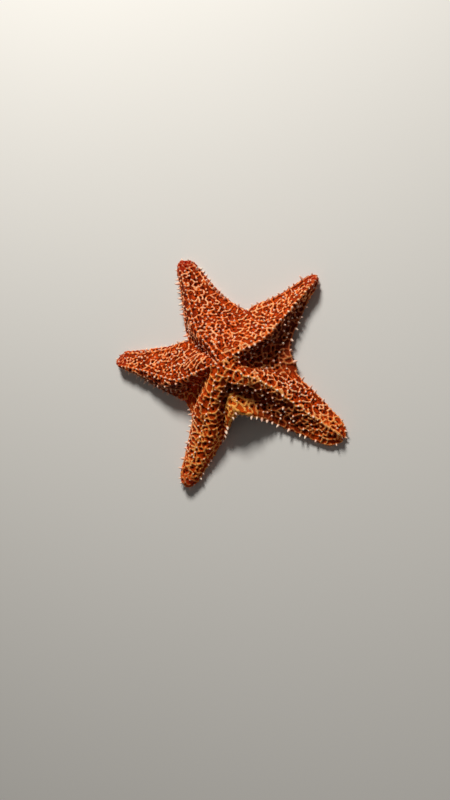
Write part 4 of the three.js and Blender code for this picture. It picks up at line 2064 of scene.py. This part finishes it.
@dataclass(frozen=True)
class MouthFinish:
    """Pale satin skin with fine wrinkles, with painted shade where it goes in."""

    wrinkle: float = 0.9 * MM
    wrinkle_depth: float = 0.3 * MM
    grain_depth: float = 0.08 * MM

    def material(self) -> bpy.types.Material:
        """Makes the material."""
        bench = Bench.named("mouth_skin")
        blots = bench.noise(self.wrinkle, 3.0, 0.6)
        grains = bench.cells(0.5 * self.wrinkle)
        pale = bench.blend(bench.graded(blots, 0.35, 0.65), PALETTE.mouth, PALETTE.mouth_pale)
        # Painted shade: the skin is painted dark where the mouth goes in.
        colour = bench.blend(bench.mark("deep"), pale, PALETTE.mouth_painted_shade)
        normal = bench.bump(blots, self.wrinkle_depth)
        normal = bench.bump(bench.graded(grains, 0.15, 0.6, 1.0, 0.0), self.grain_depth, normal)
        rough = bench.graded(blots, 0.3, 0.7, 0.38, 0.55)
        return bench.surface(Base_Color=colour, Roughness=rough, Normal=normal, Specular_IOR_Level=0.35)


# ---- The studio ----


@dataclass(frozen=True)
class Studio:
    """The floor, the lights and the camera, in metres, degrees and watts.

    lean is how far the camera leans off the vertical towards +X and towards +Y. stand_off is its distance
    from the middle of the body, measured along its view, and aside how far the middle lies to the right of
    that view's centre and above it. lens and sensor are in millimetres.
    """

    floor: float = 6.0
    key_azimuth: float = 96.0
    key_height: float = 42.0
    key_distance: float = 1.5
    key_size: float = 0.4
    key_power: float = 23.0
    sky: float = 0.08
    lean: tuple[float, float] = (18.0, -2.0)
    stand_off: float = 0.640
    aside: tuple[float, float] = (0.0074, 0.0345)
    lens: float = 29.25
    sensor: float = 36.0

    def floor_material(self) -> bpy.types.Material:
        """Makes the floor's pale matt finish."""
        bench = Bench.named("studio_floor")
        haze = bench.noise(0.6, 2.0)
        colour = bench.blend(haze, PALETTE.floor, PALETTE.floor_pale)
        return bench.surface(Base_Color=colour, Roughness=0.9, Specular_IOR_Level=0.2)

    def lay_floor(self) -> None:
        """Lays the floor that the sea star rests on."""
        build = bmesh.new()
        bmesh.ops.create_grid(build, x_segments=1, y_segments=1, size=self.floor / 2)
        floor = shown("studio_floor", mesh_from(build, "studio_floor"))
        floor.data.materials.append(self.floor_material())

    def hang_lights(self, middle: Vector) -> None:
        """Hangs the soft key light and lights the room.

        Args:
            middle: What the key light points at.
        """
        azimuth, height = math.radians(self.key_azimuth), math.radians(self.key_height)
        flat = Vector((math.cos(azimuth), math.sin(azimuth), 0.0)) * math.cos(height)
        way = flat + Vector((0.0, 0.0, math.sin(height)))
        lamp = bpy.data.lights.new("key", "AREA")
        lamp.shape = "DISK"
        lamp.size = self.key_size
        lamp.energy = self.key_power
        lamp.color = PALETTE.light[:3]
        key = bpy.data.objects.new("key", lamp)
        key.location = middle + way * self.key_distance
        key.rotation_mode = "QUATERNION"
        key.rotation_quaternion = way.to_track_quat("Z", "Y")
        bpy.context.scene.collection.objects.link(key)

        world = bpy.data.worlds.new("studio")
        world.use_nodes = True
        room = world.node_tree.nodes["Background"]
        room.inputs["Color"].default_value = PALETTE.light
        room.inputs["Strength"].default_value = self.sky
        bpy.context.scene.world = world

    def set_camera(self, middle: Vector) -> None:
        """Stands the camera over the sea star, leaning off the vertical.

        Args:
            middle: The middle of the body, on the floor.
        """
        lean_x, lean_y = (math.radians(lean) for lean in self.lean)
        view = Matrix.Rotation(math.hypot(lean_x, lean_y), 3, Vector((lean_y, -lean_x, 0.0)))
        target = Vector((*self.aside, -self.stand_off))
        axes = view.transposed()
        lens = bpy.data.cameras.new("camera")
        lens.lens = self.lens
        lens.sensor_width = self.sensor
        lens.clip_start = 0.01
        camera = bpy.data.objects.new("camera", lens)
        camera.matrix_world = Matrix.Translation(middle - axes @ target) @ axes.to_4x4()
        bpy.context.scene.collection.objects.link(camera)
        bpy.context.scene.camera = camera

    def build(self, middle: Vector) -> None:
        """Sets up the studio round the sea star."""
        self.lay_floor()
        self.hang_lights(middle)
        self.set_camera(middle)
        bpy.context.scene.view_settings.view_transform = "Standard"


def main() -> None:
    """Builds the sea star and the studio."""
    logging.basicConfig(level=logging.INFO, format="%(message)s")
    low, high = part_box("mouth")
    middle = Vector(((low.x + high.x) / 2, (low.y + high.y) / 2, 0.0))
    Studio().build(middle)

    form = Form(middle)
    form.build()
    net = Net(form)
    plate = SievePlate(form)
    net.ground.take(form.points[plate.vertex()])
    net.build()
    Skin(form, net).build(SkinFinish().material())

    pale = PegFinish("pale_tubercle", PALETTE.bar_pink, PALETTE.cream, PALETTE.pink).material()
    armour = Armour(form, net)
    armour.tubercles(pale)
    armour.keel_spines(pale)
    paler = PegFinish("pale_spine", PALETTE.bar_pink, PALETTE.cream, PALETTE.pink, start=0.0, end=0.45)
    armour.margin_spines(paler.material())
    granule = PegFinish(
        "sole_granule", PALETTE.under, PALETTE.under_pale, PALETTE.cream, start=0.0, end=0.8
    )
    armour.granules(granule.material())
    spines = PegFinish("groove_spine", PALETTE.under, PALETTE.under_pale, PALETTE.cream).material()
    foot = PegFinish(
        "tube_foot", PALETTE.foot, PALETTE.foot_pale, PALETTE.foot, start=0.5, end=0.9, rough=0.3
    )
    Grooves(form).build(spines, foot.material())
    plate.build(SieveFinish().material())
    Mouth(form).build(MouthFinish().material(), spines)


if __name__ == "__main__":
    main()
